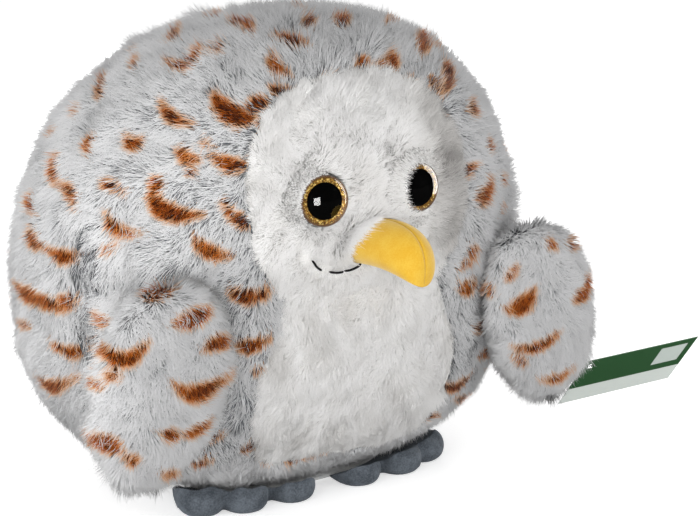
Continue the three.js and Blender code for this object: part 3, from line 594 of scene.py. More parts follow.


# %% [markdown]
# ## Printed marks
# The brown crescents sag in the middle and thin out at both ends. Those on the side that the
# photograph shows were picked one by one on enlarged views: pixels across and down of the
# start, the middle and the end of the arc, then its thickness in pixels and its strength. Sight
# lines from the camera carry them to the body and the wings. The far side gets staggered rows of
# the same crescents.

# %%
# Marks
CRESCENTS = [
    (165, 42, 172, 36, 179, 26, 6.7, 0.9), (131, 48, 132, 48, 134, 47, 2.7, 0.8),
    (131, 67, 133, 61, 137, 56, 4, 0.8), (96, 97, 98, 86, 105, 73, 6.7, 0.9),
    (73, 116, 75, 109, 77, 104, 4.5, 0.8), (45, 136, 49, 132, 54, 129, 3.1, 0.8),
    (87, 132, 84, 141, 86, 152, 6.7, 1), (123, 135, 130, 143, 138, 136, 9.4, 1),
    (55, 154, 49, 170, 58, 185, 8.9, 1), (58, 185, 67, 192, 71, 209, 8, 1),
    (29, 192, 27, 203, 31, 211, 9.4, 0.75), (26, 228, 29, 240, 41, 247, 10, 1),
    (41, 247, 59, 257, 78, 254, 9.4, 1), (98, 184, 109, 185, 122, 194, 5.8, 0.7),
    (102, 213, 115, 229, 138, 234, 7.6, 0.95), (98, 252, 107, 250, 115, 247, 4.5, 0.6),
    (150, 187, 164, 211, 202, 215, 12.9, 1), (152, 179, 154, 185, 156, 194, 9.8, 0.6),
    (221, 204, 243, 222, 260, 218, 8.5, 0.95), (175, 147, 185, 157, 199, 160, 8, 1),
    (186, 172, 191, 171, 195, 169, 4.5, 0.7), (210, 151, 230, 165, 247, 160, 10.7, 0.95),
    (159, 100, 170, 115, 191, 122, 7.6, 1), (212, 89, 232, 113, 257, 113, 16.5, 1),
    (246, 105, 257, 102, 266, 97, 10.3, 0.75), (270, 84, 289, 89, 310, 91, 7.6, 0.9),
    (299, 98, 302, 96, 306, 94, 6.7, 0.8), (267, 118, 263, 125, 267, 133, 6.2, 0.6),
    (271, 52, 277, 64, 291, 69, 8.9, 0.9), (273, 33, 292, 38, 308, 42, 8, 0.9),
    (307, 24, 309, 20, 313, 16, 7.6, 0.95), (228, 21, 242, 21, 252, 32, 11.6, 0.8),
    (205, 16, 212, 15, 220, 12, 3.3, 0.9), (294, 6, 299, 7, 305, 8, 2.7, 0.9),
    (165, 59, 184, 61, 199, 45, 11.6, 0.75), (212, 52, 216, 46, 220, 40, 6.7, 0.5),
    (335, 18, 342, 19, 350, 13, 7.6, 0.9), (330, 74, 337, 73, 344, 71, 5.4, 0.35),
    (194, 239, 208, 252, 232, 257, 9.4, 1), (2, 246, 3, 251, 4, 257, 3.6, 0.9),
    (201, 140, 204, 141, 206, 143, 2.7, 0.5), (387, 20, 394, 19, 400, 21, 4.5, 0.9),
    (421, 32, 424, 41, 421, 51, 10.7, 1), (435, 44, 438, 44, 440, 45, 3.6, 0.9),
    (359, 61, 365, 57, 371, 59, 6.2, 0.75), (391, 50, 395, 58, 396, 67, 8, 1),
    (381, 63, 386, 59, 390, 57, 3.6, 0.8), (415, 75, 415, 83, 414, 90, 9.4, 0.9),
    (448, 57, 453, 69, 445, 92, 11.6, 1), (434, 77, 438, 79, 443, 81, 8, 0.7),
    (478, 96, 478, 106, 479, 114, 8.9, 1), (448, 115, 448, 124, 448, 134, 8, 0.7),
    (494, 136, 495, 145, 496, 152, 7.6, 0.95), (466, 177, 473, 171, 479, 165, 8, 0.9),
    (496, 177, 489, 194, 487, 206, 10.7, 1), (482, 200, 484, 196, 487, 193, 6.7, 0.9),
    (507, 174, 508, 179, 509, 183, 4.5, 0.9), (506, 201, 506, 206, 504, 212, 3.1, 0.6),
    (477, 248, 475, 253, 472, 259, 5.4, 0.9), (548, 241, 552, 244, 558, 249, 6.2, 0.9),
    (570, 239, 573, 244, 576, 248, 6.7, 0.95), (10, 281, 33, 299, 67, 311, 12.1, 1),
    (56, 300, 65, 303, 73, 302, 11.2, 0.9), (16, 323, 22, 325, 29, 328, 4, 0.75),
    (47, 344, 67, 354, 90, 346, 8.5, 0.95), (83, 336, 87, 343, 91, 348, 6.2, 0.9),
    (35, 376, 48, 388, 77, 377, 10.7, 1), (93, 305, 95, 318, 115, 320, 8.9, 0.75),
    (141, 291, 157, 290, 179, 282, 13.8, 0.6), (173, 325, 194, 319, 211, 308, 13.4, 0.6),
    (96, 341, 123, 360, 148, 342, 11.2, 1), (204, 351, 218, 343, 232, 342, 9.8, 0.95),
    (106, 375, 112, 376, 119, 378, 4.5, 0.85), (93, 385, 97, 386, 101, 388, 4.5, 0.8),
    (173, 383, 199, 393, 231, 367, 12.5, 1), (228, 293, 250, 299, 279, 293, 8.9, 0.95),
    (237, 347, 252, 348, 270, 339, 9.8, 0.95), (257, 375, 260, 374, 264, 373, 4, 0.8),
    (90, 433, 105, 443, 122, 451, 14.7, 0.75), (124, 456, 131, 460, 139, 461, 6.2, 0.9),
    (163, 434, 171, 435, 179, 437, 8, 0.9), (183, 435, 198, 430, 212, 418, 9.4, 0.95),
    (205, 444, 214, 442, 224, 437, 5.4, 0.6), (244, 455, 254, 451, 265, 448, 9.8, 0.7),
    (266, 468, 271, 464, 278, 457, 5.4, 0.9), (288, 469, 295, 467, 302, 466, 4, 0.7),
    (308, 464, 311, 461, 315, 458, 6.7, 0.9), (187, 466, 199, 467, 212, 463, 6.2, 0.95),
    (162, 474, 170, 475, 179, 476, 6.2, 0.95), (303, 286, 306, 285, 309, 286, 3.1, 0.8),
    (325, 459, 330, 457, 334, 454, 4, 0.5), (464, 272, 471, 265, 475, 259, 5.4, 0.85),
    (462, 286, 471, 290, 479, 282, 8, 0.95), (507, 280, 513, 273, 517, 266, 4.9, 0.9),
    (506, 309, 523, 305, 534, 289, 13.8, 1), (572, 300, 585, 291, 589, 267, 9.4, 0.9),
    (511, 345, 538, 347, 560, 331, 7.1, 0.95), (513, 356, 520, 362, 526, 366, 5.4, 0.6),
    (540, 379, 558, 379, 573, 367, 6.2, 0.95), (555, 392, 567, 390, 575, 383, 5.4, 0.9),
    (478, 330, 484, 328, 491, 323, 8, 0.95), (482, 359, 488, 355, 496, 349, 6.2, 0.9),
    (484, 283, 484, 289, 484, 295, 4.5, 0.7), (448, 389, 463, 388, 477, 374, 10.3, 1),
    (459, 401, 468, 400, 479, 392, 6.2, 0.9), (426, 423, 431, 421, 440, 418, 6.7, 0.85),
    (404, 434, 408, 432, 412, 429, 4.5, 0.6), (488, 371, 491, 368, 493, 365, 4, 0.8),
]
FULL_DEPTH = 8.0
FAR_ROWS = [-42, -24, -8, 8, 24, 40, 56, 72]


def seen_at(pixels, level=2.0):
    """Where the sight line through each pixel first passes inside the body or a wing, once all
    are drawn in by the level: a row for each form of places, and of how far along they lie. A
    line that misses gives its nearest place to the form."""
    back = unit(CAMERA_PLACE - CAMERA_AIM)
    right = unit(np.cross([0, 0, 1.0], back))
    offset = (pixels - (PHOTO_WIDTH / 2, PHOTO_HEIGHT / 2)) / FOCAL_PIXELS
    line = unit(offset[:, :1] * right - offset[:, 1:] * np.cross(back, right) - back)
    along = np.arange(900.0, 1700.0, 1.0)
    places = CAMERA_PLACE + line[:, None] * along[:, None]
    depths = [in_body(places, level), in_wing(places, -1, level), in_wing(places, 1, level)]
    first = [np.where((d < 1).any(1), (d < 1).argmax(1), d.argmin(1)) for d in depths]
    far = [np.where((d < 1).any(1), along[f], 9999.0) for d, f in zip(depths, first)]
    return np.stack([places[np.arange(len(pixels)), f] for f in first]), np.stack(far)


def cast_marks(rows):
    """Each crescent as start, middle and end on the form that its middle is seen on, with its
    thickness in millimetres there and its strength. The forms are the body and both wings."""
    rows = np.asarray(rows, float)
    places, far = zip(*(seen_at(rows[:, k:k + 2]) for k in (0, 2, 4)))
    form = far[1].argmin(0)
    ends = [place[form, np.arange(len(rows))] for place in places]
    thick = rows[:, 6] * np.linalg.norm(ends[1] - CAMERA_PLACE, axis=1) / FOCAL_PIXELS
    marks = np.column_stack([*ends, thick, rows[:, 7]])
    return marks[form == 0], {-1: marks[form == 1], 1: marks[form == 2]}


def print_depth(points, marks, seed):
    """How many millimetres each place lies inside the nearest crescent: a little more than half
    its thickness there, less the distance to its arc, made ragged by chance. Under nothing is
    outside. A weaker print misses some of the fibres."""
    rng = np.random.default_rng(seed)
    ragged = rng.normal(0, 0.6, len(points)) + 0.7 * ripple(points, 5, seed)
    chance = rng.uniform(size=len(points))
    found = np.full(len(points), -FULL_DEPTH)
    t = np.linspace(0, 1, 25)[:, None]
    taper = np.sin(np.pi * (0.03 + 0.94 * t[:, 0]))
    for row in marks:
        start, middle, end, thickness, strength = row[0:3], row[3:6], row[6:9], row[9], row[10]
        arc = start * (1 - t) * (1 - 2 * t) + middle * 4 * t * (1 - t) + end * t * (2 * t - 1)
        near = np.flatnonzero((np.abs(points - (arc.min(0) + arc.max(0)) / 2)
                               < np.ptp(arc, axis=0) / 2 + 12).all(1))
        near = near[chance[near] < 0.35 + 0.65 * strength]
        gap = np.linalg.norm(points[near, None] - arc, axis=2)
        depth = ((0.60 * thickness + 0.6) * taper - gap).max(1) + ragged[near]
        found[near] = np.maximum(found[near], depth)
    return found


def fibre_marks(fibres, marks, lift, seed):
    """The print's depth carried to the root and the tip of each fibre, from half way along it and
    from the tip, both lifted to the level of the marks: 0.5 is the print's edge, and 1 is the full
    depth inside it. Worked out this way the edge crosses each fibre at the right place."""
    root, tip, normal = fibres
    flat = (tip - root) - normal * ((tip - root) * normal).sum(1, keepdims=True)
    middle, end = (print_depth(root + lift * normal + share * flat, marks, seed)
                   for share in (0.5, 1.0))
    return [0.5 + depth / (2 * FULL_DEPTH) for depth in (2 * middle - end, end)]


def far_marks(seed=5):
    """Staggered rows of crescents round the body, kept where the side that the list covers ends."""
    rng = np.random.default_rng(seed)
    rows = []
    for level, latitude in enumerate(np.radians(FAR_ROWS)):
        around = np.linspace(0, 2 * np.pi, 25 - 2 * level)[:-1] + 0.12 * (level % 2)
        turn = around - np.pi / 2 + rng.uniform(-0.05, 0.05, len(around))
        middle, normal = frames(body_point, turn, np.full(len(turn), latitude))
        sideways = unit(np.cross(normal, [0, 0, 1.0])) * rng.uniform(12, 22, (len(turn), 1))
        down = unit(np.cross(normal, unit(sideways))) * rng.uniform(-10, -5, (len(turn), 1))
        thick = rng.uniform(5.5, 10, len(turn))
        marks = np.column_stack([middle - sideways + down, middle, middle + sideways + down, thick,
                                 rng.uniform(0.75, 1, len(turn))])
        rows.append(marks[(normal @ TO_CAMERA < -0.06) & (panel_edge(middle) < -12)])
    return np.concatenate(rows)


seen_marks, wing_marks = cast_marks(CRESCENTS)
unseen_marks = far_marks()
all_body_marks = np.concatenate([seen_marks, unseen_marks])
print("marks:", len(seen_marks), "seen on the body,", len(unseen_marks), "in rows")

# %% [markdown]
# ## The mottled cover's fur
# The cover runs over the crown, flanks, back and underside. Its nap runs down the sides, away from
# the face on the cheeks, and backwards off the crown, where the fibres stand up enough to show
# their grey roots.

# %%
# Eye sockets, tunnel mouths and other bare places
EYE_RADIUS, EYE_X, EYE_Z, EYE_SINK = 17.5, 38.0, 234.5, 2.3
EYE_OUT, EYE_UP = math.radians(6), math.radians(3)
EYE_AXIS = {side: unit(np.array([side * math.sin(EYE_OUT), -math.cos(EYE_OUT) * math.cos(EYE_UP),
                                 math.sin(EYE_UP)])) for side in (-1, 1)}
EYE_SEAT = {side: np.array([side * EYE_X, float(body_front(EYE_X, EYE_Z)), EYE_Z])
            - EYE_SINK * EYE_AXIS[side] for side in (-1, 1)}
TUNNEL_Y, TUNNEL_Z, TUNNEL_HALF_DEPTH, TUNNEL_HALF_HEIGHT = -62, 177, 13, 45
TUNNEL_OVAL = 3


def from_eye(points, side):
    """Each point's offset from the eye's axis, square to that axis."""
    offset = points - EYE_SEAT[side]
    return offset - (offset @ EYE_AXIS[side])[:, None] * EYE_AXIS[side]


def in_mouth(points, grow_by=0.0):
    """Inside the hand tunnel's oval, seen from the side."""
    along = np.abs(points[:, 1] - TUNNEL_Y) / (TUNNEL_HALF_DEPTH + grow_by)
    up = np.abs(points[:, 2] - TUNNEL_Z) / (TUNNEL_HALF_HEIGHT + grow_by)
    return along ** TUNNEL_OVAL + up ** TUNNEL_OVAL < 1


# %%
# Mottled fur
SKIN, MOTTLED_FIBRES = 8.0, 317000
FLANK_X, FACE_MIDDLE = 140, [0, -130.0, 232.0]
turn, latitude, area = scatter(lambda a, b: body_point(a, b, SKIN), MOTTLED_FIBRES,
                               (-np.pi, np.pi), (-1.45, 1.55), seed=1)
root, normal = frames(lambda a, b: body_point(a, b, SKIN), turn, latitude)
rng = np.random.default_rng(2)
seam = panel_edge(root)
mouth = (np.abs(root[:, 0]) > FLANK_X) & in_mouth(root, 1.5)
keep = (seam < -0.5) & (root[:, 2] > 6) & (~mouth | (np.abs(root[:, 1] + 64) > 3))
keep &= rng.uniform(size=len(root)) < np.where(normal[:, 2] < -0.8, 0.5, 1.0)
root, normal, seam, mouth = root[keep], normal[keep], seam[keep], mouth[keep]
x, y, z = root.T
hollow = mouth * np.minimum(6.0, 0.3 * (TUNNEL_HALF_DEPTH - np.abs(y - TUNNEL_Y)) + 3.5)
root -= normal * hollow[:, None]
crown = rounded_step(normal[:, 2], 0.45, 0.9)
nap = unit(root - FACE_MIDDLE) + [0, 0, -1.2] * (1 - rounded_step(z, 190, 310))[:, None]
front_lip = (np.abs(x) > FLANK_X) & (y < -66) & in_mouth(root + [0, 10.0, 0], 6)
back_lip = (np.abs(x) > FLANK_X + 10) & (y > TUNNEL_Y) & in_mouth(root - [0, 12.0, 0], 10)
nap[front_lip] = [0, 0.9, -0.8]
nap[back_lip] = [0, -0.45, -1.0]
length = 13.0 + 1.4 * ripple(root, 26, 11) - 6.0 * np.exp(np.clip(seam, -90, 0) / 3.5)
# The pit by each wing's inner edge: its fibres are shorter, and their tone is lowered as painted
# shade.
pit = np.exp(-((np.abs(x) - 104) / 17) ** 2) * (y < -40) * rounded_step(z, 30, 70)
pit *= 1 - rounded_step(z, 140, 200)
# Painted shade: the tone is lowered on the fibres next to the white panels' edges, up to about eye
# height.
painted_seam_shade = np.exp(np.clip(seam, -90, 0) / 4.0) * (1 - rounded_step(z, 180, 225))
hem = (y < -60) * rounded_step(52 - z, 0, 20)
length *= 0.82 + 0.18 * rounded_step(z, 60, 130)
length += 3.0 * front_lip - 3.0 * pit - 3.0 * hem * rounded_step(x, -15, 25)
rise = 0.46 + 0.22 * crown + 0.06 * ripple(root, 60, 12) - 0.05 * hem + 0.2 * front_lip
body_fibres = list(grow(root, normal, nap, length, rise, seed=20))
body_fibres[1][:, 2] = np.maximum(body_fibres[1][:, 2], 1.2)
marks = fibre_marks(body_fibres, all_body_marks, SKIN - 2.0, seed=30)
# Painted light: the hem's shading slope is turned forwards and up, and the tone is raised on the hem
# and on all the fibres low down, to lighten the shade under the body.
body_fibres[2] = unit(normal + [0, -0.9, 1.0] * hem[:, None])
low = rounded_step(70 - z, 0, 50)
# Painted shade: the tone is lowered on the fibres inside the tunnel's mouth and on its back lip.
tone = np.clip(0.5 + 0.16 * ripple(root, 55, 31) + 0.10 * ripple(root, 9, 32)
               + rng.normal(0, 0.12, len(root)) - 0.22 * crown - 0.55 * pit - 0.9 * painted_seam_shade + 0.15 * low
               - 0.8 * (mouth & (y > -69)) - 0.15 * (back_lip & ~mouth) + 0.35 * front_lip
               + 0.3 * hem, -0.6, 1)
pile_pieces("back_cover_pile", body_fibres, np.arctan2(y, x) + 8 * (z > 250), 0.95, marks, tone,
            "body", "mottled_fur", mottled_pile)
print("fur area", round(area / 1e6, 3), "m2")

# %% [markdown]
# ## The white panels' fur
# The face fur is shorter and denser. It fans out from the beak's root and parts round the eyes,
# and on the belly it lies downwards.

# %%
# Mouth stitches, which hold the fur down
STITCHES = [[(-46, 194), (-43, 189.5), (-38.5, 186)], [(-32, 184), (-26.5, 182.8), (-21, 182.6)],
            [(-20, 182.9), (-14.5, 184.4), (-8, 187.5)]]
stitch_paths = [np.array(path) * (side, 1) for path in STITCHES for side in (-1.0, 1.0)]
stitch_points = np.concatenate([smooth_curve(path, 9) for path in stitch_paths])


def bridge_rise(x, z):
    """How far the panel swells between the eyes, which their stems pull in on both sides."""
    return 6.0 * np.exp(-(x / 14) ** 2 - ((z - 232) / 26) ** 2)


# %%
# White fur
WHITE_FIBRES = 480000
BEAK_ROOT_Z, BEAK_ROOT_WIDE, BEAK_ROOT_TALL = 199, 17, 13
EYE_RIM_LEVEL, LID_RADIUS, ROUND_EYE, NEAR_EYE = 1.9, 17.9, 34, 52
turn, latitude = scatter(lambda a, b: body_point(a, b, SKIN), WHITE_FIBRES, (-np.pi, 0.0),
                         (-1.0, 1.3), seed=3, cells=(400, 300))[:2]
root, normal = frames(lambda a, b: body_point(a, b, SKIN), turn, latitude)
seam = panel_edge(root)
eye_distance = np.minimum(*(np.linalg.norm(from_eye(root, side), axis=1) for side in (-1, 1)))
in_beak = ((root[:, 0] / BEAK_ROOT_WIDE) ** 2
           + ((root[:, 2] - BEAK_ROOT_Z) / BEAK_ROOT_TALL) ** 2) < 1
keep = (seam > 0.2) & (eye_distance > EYE_RADIUS + 0.3) & ~in_beak
root, normal, seam = root[keep], normal[keep], seam[keep]
root += normal * bridge_rise(root[:, 0], root[:, 2])[:, None]
x, y, z = root.T
fan = rounded_step(z, 165, 215)
reach = np.hypot(x, z - 203) + 6
nap = np.stack([fan * x / reach + (1 - fan) * (0.25 * x / 60 - 0.5), np.zeros(len(x)),
                fan * (z - 203) / reach - (1 - fan)], 1)
for side in (-1, 1):
    away = from_eye(root, side)
    gap = np.linalg.norm(away, axis=1, keepdims=True)
    nap += 0.7 * rounded_step(ROUND_EYE - gap, 0, 15) * away / gap
stitch_gap = np.min([np.hypot(x - sx, z - sz) for sx, sz in stitch_points], axis=0)
beak_gap = (np.hypot(x / BEAK_ROOT_WIDE, (z - BEAK_ROOT_Z) / BEAK_ROOT_TALL) - 1) * 15
by_beak = rounded_step(16 - beak_gap, 0, 13) * rounded_step(stitch_gap, 6, 16)
streak = ripple(np.stack([0.8 * z - 0.6 * x, 0 * x, 0.2 * x + 0.14 * z], 1), 9, 16)
over_beak = by_beak * rounded_step(z - 0.4 * x, 196, 212)
length = 9.5 + 0.5 * ripple(root, 24, 13) + 0.8 * streak + 5.0 * by_beak + 5.0 * over_beak
length -= 3.0 * rounded_step(5 - seam, 0, 5) + 3.5 * rounded_step(52 - z, 0, 14)
rise = (0.44 + 0.03 * ripple(root, 30, 14) + 0.09 * streak * rounded_step(z, 40, 60)
        + 0.02 * bridge_rise(x, z))
rise = np.maximum(rise, 1.1 * by_beak)
for side in (-1, 1):
    gap = np.linalg.norm(from_eye(root, side), axis=1)
    rim_height = (EYE_SEAT[side] + EYE_RIM_LEVEL * EYE_AXIS[side] - root) @ EYE_AXIS[side]
    close = gap < NEAR_EYE
    toward = (0.5 - 0.5 * side * from_eye(root, side)[:, 0] / gap) ** 2
    fade = np.exp((EYE_RADIUS - gap) / (7.5 + 9 * toward))
    height = 4.2 + (rim_height - 1.4 + 2.5 * toward) * fade
    length[close] = np.maximum(length, 1.04 * height)[close]
    rise[close] = np.maximum(rise, np.arcsin(np.clip(height / length, 0, 0.97)))[close]
    rise[close] = np.maximum(rise, 1.45 * np.exp(-((gap - EYE_RADIUS) / 5.0) ** 2))[close]
stitch_gap = np.min([np.hypot(x - sx, 0.6 * (z - sz - 4)) for sx, sz in stitch_points], axis=0)
length *= 0.42 + 0.58 * rounded_step(stitch_gap, 3.0, 8)
rise -= 0.2 * rounded_step(6 - stitch_gap, 0, 4)
face_fibres = grow(root, normal, nap, length, rise, seed=40, lock=0.9, lock_size=5.0, stray=0.26)
# Painted shade: the second ramp greys the fibres along the panels' edges and on the cheek on the owl's
# left, which turns away from the light. The grey patches of the ripple differ at random.
mark = (0.35 * rounded_step(4 - seam, 0, 4) + 0.12 * np.abs(ripple(root, 45, 15))
        + 0.6 * rounded_step(x, 25, 75) * rounded_step(z, 165, 205))
tone = np.clip(0.5 + 0.07 * ripple(root, 30, 33) + 0.08 * ripple(root, 7, 34) + 0.26 * streak
               + np.random.default_rng(4).normal(0, 0.12, len(root)), 0, 1)


def lid_fringe(side, turns, long, over, count, seed):
    """Fibres that stand round an eye's rim over a range of turns, nothing being towards the owl's
    own right and a quarter turn upwards, and lean over the ring. They are longest in the middle of
    the range, and over is how much more they lean above and below the eye."""
    rng = np.random.default_rng(seed)
    axis = EYE_AXIS[side]
    across = unit(np.cross(axis, [0, 0, 1.0]))
    across *= -np.sign(across[0])
    up = np.cross(axis, across)
    up *= np.sign(up[2])
    turn = rng.triangular(turns[0], sum(turns) / 2, turns[1], count)
    spoke = across * np.cos(turn)[:, None] + up * np.sin(turn)[:, None]
    root = (EYE_SEAT[side] + spoke * (LID_RADIUS + 10 * rng.uniform(0, 1, (count, 1)) ** 2)
            + axis * rng.uniform(-2.0, 1.5, (count, 1)))
    middle = 1 - np.abs(turn - sum(turns) / 2) / (turns[1] - turns[0]) * 2
    out = np.linalg.norm(root - EYE_SEAT[side], axis=1) - EYE_RADIUS
    reach = (long[0] + (long[1] - long[0]) * middle) * rng.normal(1, 0.16, count) * (1 - 0.04 * out)
    bend = rng.normal(0.42, 0.16, (count, 1)) * middle[:, None] + over * np.abs(np.sin(turn))[:, None]
    heading = unit(axis - spoke * bend + rng.normal(0, 0.22, (count, 3)))
    slope = unit(axis + 0.1 * spoke + rng.normal(0, 0.25, (count, 3)))
    return root, root + heading * reach[:, None], slope


fringes = [lid_fringe(1, (-2.7, 2.7), (3.5, 9.5), 0.55, 3200, 9),
           lid_fringe(-1, (-1.0, 1.9), (2.0, 4.0), 0.0, 1300, 10)]
extra = sum(len(f[0]) for f in fringes)
face_fibres = [np.concatenate(same) for same in zip(face_fibres, *fringes)]
mark, z = (np.pad(v, (0, extra), constant_values=c) for v, c in ((mark, 0), (z, EYE_Z)))
tone = np.concatenate([tone, np.random.default_rng(11).normal(0.5, 0.2, extra)])
for name, chosen in (("face_pile", z > WAIST), ("belly_pile", z <= WAIST)):
    pile_pieces(name, [p[chosen] for p in face_fibres], z[chosen], 0.85, [mark[chosen]] * 2,
                tone[chosen], "body", "white_fur", white_pile)

# %% [markdown]
# ## What the fur grows from
# Under the pile is the knitted backing: one closed cushion with the hand tunnel cut through it,
# and on its front the two white panels, each a thin closed sheet that follows the cushion.

# %%
# Backing of the body, and the panels
def applied(piece, *modifiers):
    """Adds each modifier with its settings, and keeps the mesh that they make together."""
    for kind, settings in modifiers:
        added = piece.modifiers.new(kind, kind)
        for name, value in settings.items():
            setattr(added, name, value)
    graph = bpy.context.evaluated_depsgraph_get()
    graph.update()
    mesh = bpy.data.meshes.new_from_object(piece.evaluated_get(graph))
    piece.modifiers.clear()
    piece.data = mesh
    return piece


def body_skin(name, inset, around=112, rows=72):
    """Rings of the body's form from the underside to the crown."""
    latitude = np.linspace(-np.pi / 2, np.pi / 2, rows + 1)[1:-1]
    turn = np.linspace(-np.pi, np.pi, around, endpoint=False)
    rings = body_point(*np.broadcast_arrays(turn[None], latitude[:, None]), inset)
    ends = body_point(np.zeros(2), np.array([-np.pi / 2, np.pi / 2]), inset)
    return closed_form(name, rings, *ends)


def tunnel_bar(grow_by, half_length, around=56):
    """A closed bar along X with the hand tunnel's oval as its section."""
    across, along = oval(np.linspace(0, 2 * np.pi, around, endpoint=False), TUNNEL_OVAL)
    section = np.stack([0 * across, across * (TUNNEL_HALF_DEPTH + grow_by) + TUNNEL_Y,
                        along * (TUNNEL_HALF_HEIGHT + grow_by) + TUNNEL_Z], 1)
    rings = np.stack([section + (half_length * s, 0, 0) for s in (-1, 1)])
    ends = [(half_length * s, TUNNEL_Y, TUNNEL_Z) for s in (-1, 1)]
    return closed_form("tunnel_bar", rings, *ends)


bar = tunnel_bar(2.8, 230)
backing = applied(body_skin("back_cover_backing", SKIN),
                  ("BOOLEAN", {"object": bar, "operation": "DIFFERENCE", "solver": "EXACT"}))
bpy.data.objects.remove(bar)
lifted = np.array([v.co[:] for v in backing.data.vertices])
print("backing reaches down to", round(float(lifted[:, 2].min()) * 1000, 1), "mm")
dress(backing, "body", "mottled_fur", grey_backing, "back_cover", "body_stuffing")


def front_panel(name, line, low, high, columns=60, rows=60):
    """A sheet over the front: share across times the outline's half width, and the body's own
    depth there, once just over the backing and once just inside it."""
    share, height = np.meshgrid(np.linspace(-1, 1, columns), np.linspace(low, high, rows))
    x = share * panel_half_width(height, line)
    swell = bridge_rise(x, height)
    sheets = [np.stack([x, body_front(x, height, inset) - swell, height], -1) for inset in (7.3, 8.3)]
    return slab(name, *sheets)


dress(front_panel("face_panel_backing", face_line, WAIST, FACE_TOP - 0.5), "body", "white_fur",
      white_backing, "face_panel")
dress(front_panel("belly_panel_backing", belly_line, BELLY_LOW, WAIST), "body", "white_fur",
      white_backing, "belly_panel")

# %%
# Base panel and tunnel lining
def closed_grid(name, grid):
    """A mesh from a grid that joins up both ways."""
    rows, columns = grid.shape[:2]
    row, i = np.meshgrid(np.arange(rows), np.arange(columns), indexing="ij")
    a, b = row * columns + i, row * columns + (i + 1) % columns
    c, d = (row + 1) % rows * columns + (i + 1) % columns, (row + 1) % rows * columns + i
    faces = np.stack([a, b, c, a, c, d], -1).reshape(-1, 3)
    points = grid.reshape(-1, 3)
    return mesh_piece(name, points, outward(points, faces))


BASE_HALF_WIDTH, BASE_HALF_DEPTH, BASE_THICK, BASE_AROUND = 88.5, 64.5, 3, 96


def base_panel():
    """A flat oval: rings of growing size underneath, a rounded rim, and shrinking rings above."""
    share = np.array([0.3, 0.6, 0.85, 0.97, 1, 1, 0.97, 0.85, 0.6, 0.3])
    height = np.array([0.3, 0.2, 0.1, 0, 0.7, 2.0, 2.8, BASE_THICK, BASE_THICK, BASE_THICK])
    across, along = oval(np.linspace(0, 2 * np.pi, BASE_AROUND, endpoint=False), PLAN_OVAL)
    rings = np.stack([share[:, None] * across * BASE_HALF_WIDTH,
                      share[:, None] * along * BASE_HALF_DEPTH,
                      np.broadcast_to(height[:, None], (len(share), BASE_AROUND))], -1)
    return closed_form("base_panel_cloth", rings, (0, 0, height[0]), (0, 0, BASE_THICK))


def lining_tube():
    """A tube along X that ends on the body's sides: the oval section outside, and inside it the
    same oval drawn in a little, waving in and out as slack cloth does."""
    turn = np.linspace(0, 2 * np.pi, 72, endpoint=False)
    rows = []
    for wall, shares in ((2.2, np.linspace(-1, 1, 60)), (0.0, np.linspace(1, -1, 60))):
        across, along = oval(turn, TUNNEL_OVAL)
        wave = 1 + 0.02 * np.sin(5 * turn) + 0.015 * np.sin(9 * turn + 1)
        y = across * (TUNNEL_HALF_DEPTH + wall) * wave + TUNNEL_Y
        z = along * (TUNNEL_HALF_HEIGHT + wall) * wave + TUNNEL_Z
        reach = body_side(y, z, SKIN - 1.0)
        rows.append(np.stack([shares[:, None] * reach, y + 0 * shares[:, None],
                              z + 0 * shares[:, None]], -1))
    return closed_grid("muff_lining_cloth", np.concatenate(rows))


dress(base_panel(), "body", "mottled_fur", base_cloth, "base_panel")
dress(lining_tube(), "body", "lining_pile", lining_painted_dark, "muff_lining")

# %% [markdown]
# ## Wings
# Each wing is a flat stuffed paddle that hangs from the shoulder in front of the flank. The same
# fur grows on both of its faces, fanning down and out from the top.

